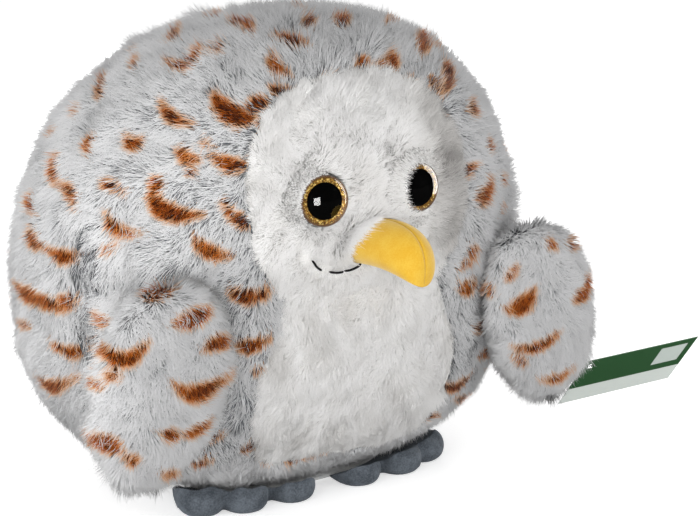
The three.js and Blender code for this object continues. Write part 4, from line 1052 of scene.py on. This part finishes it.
# %%
# Wing backings and fur
WING_SKIN, WING_FIBRES = 6.0, 46000
WING_MIDDLE_X, WING_MIDDLE_Z = 158, 124
for side, name in ((-1, "right"), (1, "left")):
    def skin(turn, share):
        return wing_point(side, side * turn, share, WING_SKIN)
    share = np.linspace(0, 1, 61)[1:-1]
    turn = np.linspace(0, 2 * np.pi, 64, endpoint=False)
    rings = wing_point(side, *np.broadcast_arrays(turn[None], share[:, None]), WING_SKIN)
    ends = wing_point(side, np.zeros(2), np.array([0.0, 1.0]), WING_SKIN)
    backing = closed_form(f"{name}_wing_backing", rings, *ends)
    dress(backing, name + "_wing", "mottled_fur", grey_backing, f"{name}_wing_front_panel",
          f"{name}_wing_rear_panel", f"{name}_wing_stuffing")
    turn, share = scatter(skin, WING_FIBRES, (0, 2 * np.pi), (0.01, 0.99), seed=6 + side)[:2]
    root, normal = frames(skin, turn, share)
    outwards = root - [side * WING_MIDDLE_X, WING_Y, WING_MIDDLE_Z]
    normal *= np.sign((normal * outwards).sum(1, keepdims=True))
    keep = in_body(root, -1.0) > 1
    root, normal = root[keep], normal[keep]
    centre_line = WING_SPREAD * (WING_TOP - root[:, 2]) / WING_LENGTH
    out = (side * root[:, 0] - WING_OUT - centre_line) / WING_HALF_WIDTH
    top = rounded_step(root[:, 2], 150, 188)
    nap = np.stack([side * (0.55 + 0.4 * top) * out, -0.6 * top, np.full(len(out), -1.0)], 1)
    length = 11.5 + 1.2 * ripple(root, 24, 50 + side)
    wing_fibres = grow(root, normal, nap, length, 0.48 + 0.12 * top, seed=60 + side, lock=2.8,
                       lock_size=5.0)
    listed = wing_marks[side]
    behind = listed.copy()
    behind[:, [1, 4, 7]] = 2 * WING_Y - behind[:, [1, 4, 7]]
    marks = fibre_marks(wing_fibres, np.concatenate([listed, behind]), WING_SKIN - 2.0, 70 + side)
    tone = np.clip(0.5 + 0.16 * ripple(root, 40, 71) + 0.10 * ripple(root, 9, 72) + 0.05 * top
                   + np.random.default_rng(73).normal(0, 0.12, len(root)), 0, 1)
    pile_pieces(f"{name}_wing_pile", wing_fibres, root[:, 1], 0.95, marks, tone, name + "_wing",
                "mottled_fur", mottled_pile)

# %% [markdown]
# ## Safety eyes
# A safety eye is moulded: a clear acrylic dome over a black pupil and a ring of gold glitter film
# with a brown rim, in a black cup. Each part is a profile turned about the eye's own axis.

# %%
# Eye parts
def turned(name, profile, side, around=72):
    """A closed profile of radius and level, carried round the eye's axis."""
    profile = np.asarray(profile, float)
    axis = EYE_AXIS[side]
    flat = unit(np.cross(axis, [0, 0, 1.0]))
    up = np.cross(flat, axis)
    angle = np.linspace(0, 2 * np.pi, around, endpoint=False)
    spoke = flat * np.cos(angle)[:, None] + up * np.sin(angle)[:, None]
    rings = (EYE_SEAT[side] + spoke[None] * profile[:, 0, None, None]
             + axis * profile[:, 1, None, None])
    if profile[0, 0] < 0.01:
        return closed_form(name, rings[1:-1], rings[0, 0], rings[-1, 0])
    return closed_grid(name, rings)


def dome_profile(radius, rise, base, steps=28):
    """From the axis underneath, round the rim, and over a quarter of an ellipse to the axis."""
    angle = np.linspace(0, np.pi / 2, steps)
    dome = np.stack([radius * np.cos(angle), base + rise * np.sin(angle)], 1)
    under = [(0, 0), (radius * 0.5, 0), (radius - 0.6, 0), (radius - 0.15, 0.2), (radius, 0.8)]
    return np.concatenate([under, dome])


def clear_material(name):
    """Clear plastic that bends what is seen through it, and lets lamps and the light of its
    surroundings straight in to the parts under it."""
    material, tree, output = new_material(name)
    plastic = node(tree, "ShaderNodeBsdfPrincipled",
                   values={"Transmission Weight": 1.0, "IOR": 1.49, "Roughness": 0.02})
    ray = node(tree, "ShaderNodeLightPath")
    inward = node(tree, "ShaderNodeMath", operation="MAXIMUM",
                  links={0: ray.outputs["Is Shadow Ray"], 1: ray.outputs["Is Diffuse Ray"]})
    through = node(tree, "ShaderNodeBsdfTransparent")
    both = node(tree, "ShaderNodeMixShader", links={0: inward.outputs[0], 1: plastic.outputs[0],
                                                    2: through.outputs[0]})
    tree.links.new(both.outputs[0], output.inputs["Surface"])
    return material


def moulded_material(name, text, roughness, gloss=0.5):
    """Moulded plastic: one colour with a faint flow pattern in its roughness."""
    material, tree, output = new_material(name)
    place = node(tree, "ShaderNodeTexCoord")
    flow = node(tree, "ShaderNodeTexNoise", values={"Scale": 150.0, "Detail": 2.0},
                links={"Vector": place.outputs["Object"]})
    rough = node(tree, "ShaderNodeMapRange", values={3: roughness * 0.8, 4: roughness * 1.2},
                 links={0: flow.outputs["Fac"]})
    plastic = node(tree, "ShaderNodeBsdfPrincipled",
                   values={"Base Color": srgb(text), "IOR": 1.49, "Specular IOR Level": gloss},
                   links={"Roughness": rough.outputs[0]})
    tree.links.new(plastic.outputs[0], output.inputs["Surface"])
    return material


def glitter_material(name):
    """Glitter film: flakes about 0.7 mm across, each with its own tilt and gold tone, on a base that
    darkens to brown towards the outer rim. The attribute rim holds the distance from the pupil."""
    material, tree, output = new_material(name)
    place = node(tree, "ShaderNodeTexCoord")
    flakes = node(tree, "ShaderNodeTexVoronoi", values={"Scale": 1400.0},
                  links={"Vector": place.outputs["Object"]})
    parts = node(tree, "ShaderNodeSeparateColor", links={"Color": flakes.outputs["Color"]})
    gold = node(tree, "ShaderNodeValToRGB", links={"Fac": parts.outputs["Red"]},
                stops=[(0.0, "402A03"), (0.4, "724B0B"), (0.75, "A97817"), (1.0, "FFE68A")])
    rim = node(tree, "ShaderNodeAttribute", attribute_name="rim")
    brown = node(tree, "ShaderNodeValToRGB", links={"Fac": rim.outputs["Fac"]},
                 stops=[(0.0, "000000"), (0.35, "000000"), (0.55, "FFFFFF"), (1.0, "FFFFFF")])
    tone = node(tree, "ShaderNodeMix", data_type="RGBA", values={7: srgb("5C3806")},
                links={0: brown.outputs[0], 6: gold.outputs[0]})
    tilt = node(tree, "ShaderNodeBump", values={"Strength": 0.5, "Distance": 0.0004},
                links={"Height": parts.outputs["Green"]})
    film = node(tree, "ShaderNodeBsdfPrincipled",
                values={"Metallic": 0.35, "Roughness": 0.45},
                links={"Base Color": tone.outputs[2], "Normal": tilt.outputs[0]})
    tree.links.new(film.outputs[0], output.inputs["Surface"])
    return material


LENS_RADIUS, LENS_RISE, IRIS_INNER, IRIS_WIDTH, IRIS_AROUND = 17.4, 8.6, 11.0, 6.3, 96
IRIS_PROFILE = [(IRIS_INNER, -1.1), (16.9, -1.1), (17.2, -0.7), (17.2, 1.2), (17.1, 1.4),
                (15.6, 1.05), (14.1, 0.7), (12.6, 0.35), (11.2, 0.05), (IRIS_INNER, 0.0)]
PUPIL_PROFILE = [(0, -1.1), (10.9, -1.1), (11.1, -0.8), (11.3, 0.1), (11.2, 0.2), (6, 0.2), (0, 0.2)]
CUP_PROFILE = [(0, -5.4), (16.3, -5.4), (17.0, -5.1), (17.45, -4.3), (17.45, -0.6), (17.2, -0.3),
               (16.8, -1.3), (0, -1.4)]
clear_acrylic = clear_material("acrylic, moulded and polished")
black_plastic = moulded_material("ABS, moulded, black", "040404", 0.6, gloss=0.0)
white_plastic = moulded_material("nylon, moulded, white", "EFEFEC", 0.4)
clear_nylon = clear_material("nylon line, clear")
glitter_film = glitter_material("glitter film, gold")

for side, name in ((-1, "right"), (1, "left")):
    lens = turned(f"{name}_eye_dome", dome_profile(LENS_RADIUS, LENS_RISE, EYE_RIM_LEVEL), side)
    dress(lens, "body", "clear_lens", clear_acrylic, f"{name}_eye_lens")
    iris = turned(f"{name}_eye_glitter", IRIS_PROFILE, side, around=IRIS_AROUND)
    from_pupil = (np.asarray(IRIS_PROFILE)[:, 0] - IRIS_INNER) / IRIS_WIDTH
    rim = np.repeat(from_pupil, IRIS_AROUND).astype(np.float32)
    iris.data.attributes.new("rim", "FLOAT", "POINT").data.foreach_set("value", rim)
    dress(iris, "body", "glitter_iris", glitter_film, f"{name}_eye_iris")
    pupil = turned(f"{name}_eye_disc", PUPIL_PROFILE, side)
    dress(pupil, "body", "black_plastic", black_plastic, f"{name}_eye_pupil")
    cup = turned(f"{name}_eye_shell", CUP_PROFILE, side)
    dress(cup, "body", "black_plastic", black_plastic, f"{name}_eye_cup")
    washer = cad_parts[f"{name}_eye_washer"]
    washer.data.materials.clear()
    washer.data.materials.append(white_plastic)
print("eyes seated at", EYE_SEAT[-1].round(1), EYE_SEAT[1].round(1))

# %% [markdown]
# ## Beak
# The beak is cut from short-pile plush in two mirrored panels, sewn along the ridge and the jaw,
# stuffed and hooked down at the tip.

# %%
# Beak panels
def bezier(knots, share):
    """A point on the curve of three or four control points, by the usual weights."""
    knots, t = np.asarray(knots, float), share[:, None]
    if len(knots) == 3:
        return knots[0] * (1 - t) ** 2 + knots[1] * 2 * t * (1 - t) + knots[2] * t ** 2
    return (knots[0] * (1 - t) ** 3 + knots[1] * 3 * t * (1 - t) ** 2
            + knots[2] * 3 * t ** 2 * (1 - t) + knots[3] * t ** 3)


CREST_KNOTS = [(128, 214), (178, 230), (212, 221), (202, 184)]
JAW_KNOTS = [(128, 184), (170, 192), (202, 184)]
BEAK_HALF_WIDTH, SEAM_GAP = 20, 0.1


def beak_lines(share):
    """The crest and the jaw seen from the side, as reach and height, and the half width, which
    closes at the tip."""
    crest, jaw = bezier(CREST_KNOTS, share), bezier(JAW_KNOTS, share)
    taper = np.sqrt(np.clip(1 - np.clip(share, 0, 1) ** 2.4, 0, 1))
    return crest, jaw, BEAK_HALF_WIDTH * taper


def beak_surface(side, share, turn, puff=0.0):
    """A place on a section that hangs between the crest and the jaw: half an oval that dips where
    it meets the seams, grown by puff."""
    crest, jaw, wide = beak_lines(share)
    middle, half = (crest + jaw) / 2, (crest - jaw) / 2
    rise = np.cos(turn)
    dip = 1 - 0.05 * np.exp(-(np.sin(turn) / 0.06) ** 2)
    x = (wide + puff) * np.sin(turn) * (1 - 0.18 * rise)
    half = half * (1 + puff / np.maximum(np.linalg.norm(half, axis=-1, keepdims=True), 1))
    return np.stack([side * (x + SEAM_GAP), -middle[..., 0] - half[..., 0] * rise * dip,
                     middle[..., 1] + half[..., 1] * rise * dip], -1)


def beak_panel(name, side, rows=64, around=40):
    """Sections from the root to the tip: the outer surface, and a flat wall up the middle."""
    share = 1 - (1 - np.linspace(0, 1, rows + 1)) ** 1.5
    turn = np.linspace(0, np.pi, around)
    outer = np.stack([beak_surface(side, share, np.full(rows + 1, t)) for t in turn], 1)
    crest, jaw = beak_lines(share)[:2]
    middle, half = (crest + jaw) / 2, (crest - jaw) / 2
    back = np.cos(np.linspace(np.pi, 0, 12)[1:-1])[None] * 0.94
    wall = np.stack([np.broadcast_to(side * SEAM_GAP, (rows + 1, 10)),
                     -middle[:, :1] - half[:, :1] * back, middle[:, 1:] + half[:, 1:] * back], -1)
    rings = np.concatenate([outer, wall], 1)
    return closed_form(name, rings[1:-1], rings[0].mean(0), rings[-1].mean(0))


def beak_fringe(side, count=2400):
    """White fibres that leave the face round the beak's root and lie along it: each joins two
    places of the beak's surface, lifted off it a little, and they reach furthest on top."""
    rng = np.random.default_rng(17 + side)
    turn = rng.uniform(0.0, 2.6, count)
    start = rng.uniform(-0.02, 0.12, count)
    reach = (0.08 + 0.10 * np.exp(-((turn - 1.0) / 0.8) ** 2)) * rng.normal(1, 0.2, count)
    root = beak_surface(side, start, turn, 0.6)
    tip = beak_surface(side, start + reach, turn + rng.normal(0.05, 0.14, count), 2.2)
    slope = unit([side * 0.3, -1.0, 0.35] + rng.normal(0, 0.2, (count, 3)))
    return root, tip, slope


for side, name in ((-1, "right"), (1, "left")):
    panel = beak_panel(f"beak_{name}_plush", side)
    dress(panel, "body", "golden_pile", yellow_plush, f"beak_{name}_panel", "beak_stuffing")
fringes = [np.concatenate(pair) for pair in zip(beak_fringe(-1), beak_fringe(1))]
plain = np.zeros(len(fringes[0]))
pile_pieces("beak_fringe_pile", fringes, fringes[0][:, 0], 0.7, [plain, plain], plain + 0.2, "body",
            "white_fur", white_pile)

# %% [markdown]
# ## Feet
# Each foot is a flat sole and an upper of the same short-pile plush, with three stuffed toes. The
# toes and the pad behind them are worked out apart, joined by a voxel remesh and smoothed, which
# leaves the soft valleys that stuffing gives.

# %%
# Feet
# Each toe, and then the pad: how far out and forward its front end is, its heading in degrees, and
# its half width and half length
TOES_AND_PAD = [(27, 97, -6, 19, 30), (69, 95, 6, 19, 30), (102, 83, 20, 19, 30),
                (64, 80, 6, 46, 18)]
TOE_MIDDLE, TOE_OVAL, TOE_ROWS, TOE_AROUND = 9.5, 2.4, 23, 40
VOXEL, FOOT_GAP = 0.0013, 0.4


def toe(centre, heading, half_width, half_length, half_height=14.5):
    """A squarish ellipsoid: an oval of latitude for its height, an oval of turn for its plan."""
    latitude = np.linspace(-np.pi / 2, np.pi / 2, TOE_ROWS + 2)[1:-1, None]
    ring, climb = oval(latitude, TOE_OVAL)
    along, across = oval(np.linspace(0, 2 * np.pi, TOE_AROUND, endpoint=False)[None], TOE_OVAL)
    ahead = np.array([math.sin(heading), -math.cos(heading), 0])
    aside = np.array([math.cos(heading), math.sin(heading), 0])
    rings = (np.asarray(centre, float) + ahead * (half_length * ring * along)[..., None]
             + aside * (half_width * ring * across)[..., None]
             + np.array([0, 0, 1.0]) * (half_height * climb + 0 * along)[..., None])
    low = np.asarray(centre, float) - (0, 0, half_height)
    high = np.asarray(centre, float) + (0, 0, half_height)
    points = np.concatenate([[low], rings.reshape(-1, 3), [high]])
    return points, outward(points, ring_faces(TOE_ROWS, TOE_AROUND))


def foot(name, side):
    """Three toes and the pad in one mesh, remeshed, smoothed and cut by the body."""
    points, faces, start = [], [], 0
    for out, reach, degrees, half_width, half_length in TOES_AND_PAD:
        heading = math.radians(degrees)
        centre = np.array([out, -reach, TOE_MIDDLE]) - half_length * np.array(
            [math.sin(heading), -math.cos(heading), 0])
        found, index = toe(centre, heading, half_width, half_length)
        found = found * (side, 1, 1)
        points.append(found)
        faces.append(outward(found, index) + start)
        start += len(found)
    made = mesh_piece(name, np.concatenate(points), np.concatenate(faces))
    applied(made, ("REMESH", {"mode": "VOXEL", "voxel_size": VOXEL}),
            ("SMOOTH", {"factor": 0.5, "iterations": 10}))
    cutter = body_skin("body_cutter", -FOOT_GAP)
    applied(made, ("BOOLEAN", {"object": cutter, "operation": "DIFFERENCE", "solver": "EXACT"}))
    bpy.data.objects.remove(cutter)
    co = np.zeros(len(made.data.vertices) * 3, np.float32)
    made.data.vertices.foreach_get("co", co)
    co = co.reshape(-1, 3)
    soft = 0.0007 * ripple(co * 1000, 16, 80 + side)
    co[:, 2] = np.maximum(co[:, 2] + soft * (co[:, 2] > 0.004), 0.0002)
    made.data.vertices.foreach_set("co", co.ravel())
    made.data.polygons.foreach_set("use_smooth", np.ones(len(made.data.polygons), bool))
    made.data.update()
    print(name, len(made.data.polygons), "faces")
    return made


for side, name in ((-1, "right"), (1, "left")):
    made = foot(f"{name}_foot_plush", side)
    dress(made, f"{name}_foot", "grey_pile", slate_plush, f"{name}_foot_upper",
          f"{name}_foot_sole", f"{name}_foot_stuffing")

# %% [markdown]
# ## Mouth stitches
# The smile is a few running stitches of black thread that sink into the white fur.

# %%
# Stitches
def thread(name, path, radius=0.85, around=10):
    """A round thread along a curve on the face, pulled down into the cloth at both ends."""
    path = smooth_curve(path, 17)
    share = np.linspace(-1, 1, 17)
    near_beak = rounded_step(24 - np.abs(path[:, 0]), 0, 14)
    depth = body_front(path[:, 0], path[:, 1], 3.0) - (1.8 + 2.2 * near_beak) * (1 - share ** 4) + 1.0
    centre = np.stack([path[:, 0], depth, path[:, 1]], 1)
    along = unit(np.gradient(centre, axis=0))
    side = unit(np.cross(along, [0, -1.0, 0]))
    other = np.cross(along, side)
    turn = np.linspace(0, 2 * np.pi, around, endpoint=False)
    size = radius * np.sqrt(np.clip(1 - share ** 8, 0.05, 1))
    rings = centre[:, None] + size[:, None, None] * (
        side[:, None] * np.cos(turn)[:, None] + other[:, None] * np.sin(turn)[:, None])
    return closed_form(name, rings, centre[0] - along[0] * 0.3, centre[-1] + along[-1] * 0.3)


black_thread = cloth_material("polyester thread, black", "0C0C0D", "1E1E20", 0.0004, sheen=0.1)
for number, path in enumerate(stitch_paths):
    stitch = thread(f"mouth_stitch_{number + 1}", path)
    dress(stitch, "body", "black_plastic", black_thread)

# %% [markdown]
# ## Hang tag
# The tag is a bare coated card, printed in two plain bands: dark green over a pale grey, with a
# small blank pale field. A clear nylon loop holds it.

# %%
# Tag
CARD_CORNER, CARD_TILT, BAND_EDGE = (0.232, -0.1000, 0.0620), math.radians(36), -0.0364
FIELD_ALONG, FIELD_HALF_LENGTH, FIELD_DOWN, FIELD_HALF_HEIGHT = 0.098, 0.0145, -0.0170, 0.0110


def tag_material():
    """Bands by the distance down the card from its inner top corner, and a blank field by the
    distances down and along."""
    material, tree, output = new_material("coated card, printed in two bands")
    place = node(tree, "ShaderNodeTexCoord")
    laid = node(tree, "ShaderNodeMapping", vector_type="TEXTURE",
                values={"Location": CARD_CORNER, "Rotation": (CARD_TILT, 0, 0)},
                links={"Vector": place.outputs["Object"]})
    parts = node(tree, "ShaderNodeSeparateXYZ", links={"Vector": laid.outputs[0]})
    band = node(tree, "ShaderNodeMath", operation="GREATER_THAN", values={1: BAND_EDGE},
                links={0: parts.outputs["Z"]})
    bands = node(tree, "ShaderNodeMix", data_type="RGBA",
                 values={6: srgb("C9CFCA"), 7: srgb("2B5530")}, links={0: band.outputs[0]})
    across = node(tree, "ShaderNodeMath", operation="COMPARE", links={0: parts.outputs["X"]},
                  values={1: FIELD_ALONG, 2: FIELD_HALF_LENGTH})
    down = node(tree, "ShaderNodeMath", operation="COMPARE", links={0: parts.outputs["Z"]},
                values={1: FIELD_DOWN, 2: FIELD_HALF_HEIGHT})
    field = node(tree, "ShaderNodeMath", operation="MULTIPLY",
                 links={0: across.outputs[0], 1: down.outputs[0]})
    printed = node(tree, "ShaderNodeMix", data_type="RGBA", values={7: srgb("B9C2BC")},
                   links={0: field.outputs[0], 6: bands.outputs[2]})
    grain = node(tree, "ShaderNodeTexNoise", values={"Scale": 900.0, "Detail": 2.0},
                 links={"Vector": place.outputs["Object"]})
    relief = node(tree, "ShaderNodeBump", values={"Strength": 0.05, "Distance": 0.0003},
                  links={"Height": grain.outputs["Fac"]})
    card = node(tree, "ShaderNodeBsdfPrincipled",
                values={"Roughness": 0.55, "Specular IOR Level": 0.3},
                links={"Base Color": printed.outputs[2], "Normal": relief.outputs[0]})
    tree.links.new(card.outputs[0], output.inputs["Surface"])
    return material


for name, material in (("hang_tag", tag_material()), ("tag_loop", clear_nylon)):
    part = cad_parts[name]
    part.data.materials.clear()
    part.data.materials.append(material)

# %% [markdown]
# ## Floor and light
# A white floor and a white surround that the camera sees as pure white, and an even pale sky. A
# large soft lamp stands high on the left, with two lower ones on that side, one in front on the
# right, and one behind that lights the edge of the fur. Two more show only in the eyes' gloss.

# %%
# Floor and lights
def floor_material():
    """A matt white floor. What the camera sees of it gets a little light of its own, so that open
    floor is white and the owl's shadow stays. The eyes' gloss sees it darker, as a studio is."""
    material, tree, output = new_material("matt white floor")
    ray = node(tree, "ShaderNodeLightPath")
    tone = node(tree, "ShaderNodeMix", data_type="RGBA",
                values={6: srgb("F0F0F0"), 7: srgb("303030")},
                links={0: ray.outputs["Is Glossy Ray"]})
    matt = node(tree, "ShaderNodeBsdfDiffuse", links={"Color": tone.outputs[2]})
    light = node(tree, "ShaderNodeEmission", values={"Strength": 0.5})
    both = node(tree, "ShaderNodeAddShader", links={0: matt.outputs[0], 1: light.outputs[0]})
    chosen = node(tree, "ShaderNodeMixShader",
                  links={0: ray.outputs["Is Camera Ray"], 1: matt.outputs[0], 2: both.outputs[0]})
    tree.links.new(chosen.outputs[0], output.inputs["Surface"])
    return material


SKY, GLOSS_DIMS, FLOOR_REACH = 0.6, 0.59, 4000
OWL_MIDDLE = (0, 0, 0.15)
STUDIO_LAMPS = [("key", (-2.0, -1.1, 1.2), OWL_MIDDLE, 1.4, 21.0),
                ("fill", (-0.9, -1.9, 0.35), OWL_MIDDLE, 1.0, 17.0),
                ("edge", (-1.5, -0.2, 0.12), (-0.15, 0, 0.03), 0.5, 10.0),
                ("side", (1.3, -1.8, 0.5), OWL_MIDDLE, 1.0, 14.0),
                ("back", (1.0, 1.9, 0.8), OWL_MIDDLE, 1.2, 24.0)]
EYE_GLEAMS = [("catch", (-0.110, -0.401, 0.231), (-0.038, -0.165, 0.234), 0.095, 0.45),
              ("rim_light", (0.60, -0.02, 0.335), (0.038, -0.14, 0.235), 0.7, 9.0)]


def surround():
    """White to the camera, a dim studio to gloss, and an even pale light to everything else."""
    world = bpy.data.worlds.new("surround")
    bpy.context.scene.world = world
    world.use_nodes = True
    tree = world.node_tree
    tree.nodes.clear()
    ray = node(tree, "ShaderNodeLightPath")
    level = node(tree, "ShaderNodeMath", operation="MULTIPLY_ADD", values={1: -GLOSS_DIMS, 2: SKY},
                 links={0: ray.outputs["Is Glossy Ray"]})
    sky = node(tree, "ShaderNodeBackground", values={"Color": (1, 1, 1, 1)},
               links={"Strength": level.outputs[0]})
    white = node(tree, "ShaderNodeBackground", values={"Color": (1, 1, 1, 1), "Strength": 1.0})
    both = node(tree, "ShaderNodeMixShader", links={0: ray.outputs["Is Camera Ray"],
                                                    1: sky.outputs[0], 2: white.outputs[0]})
    node(tree, "ShaderNodeOutputWorld", links={"Surface": both.outputs[0]})


def lamp(name, place, aim_at, size, power):
    """A square soft lamp that faces a point."""
    data = bpy.data.lights.new(name, "AREA")
    data.shape, data.size, data.energy = "SQUARE", size, power
    made = bpy.data.objects.new(name, data)
    bpy.context.collection.objects.link(made)
    made.location = place
    facing = Vector(aim_at) - Vector(place)
    made.rotation_euler = facing.to_track_quat("-Z", "Y").to_euler()
    return made


corners = [(FLOOR_REACH * i, FLOOR_REACH * j, 0) for i, j in ((-1, -1), (1, -1), (1, 1), (-1, 1))]
floor = mesh_piece("floor", corners, np.array([[0, 1, 2, 3]]), smooth=False)
floor.data.materials.append(floor_material())
surround()
for row in STUDIO_LAMPS:
    lamp(*row).visible_glossy = False
for row in EYE_GLEAMS:
    gleam = lamp(*row)
    gleam.visible_camera = gleam.visible_diffuse = False
bpy.context.scene.view_settings.view_transform = "Standard"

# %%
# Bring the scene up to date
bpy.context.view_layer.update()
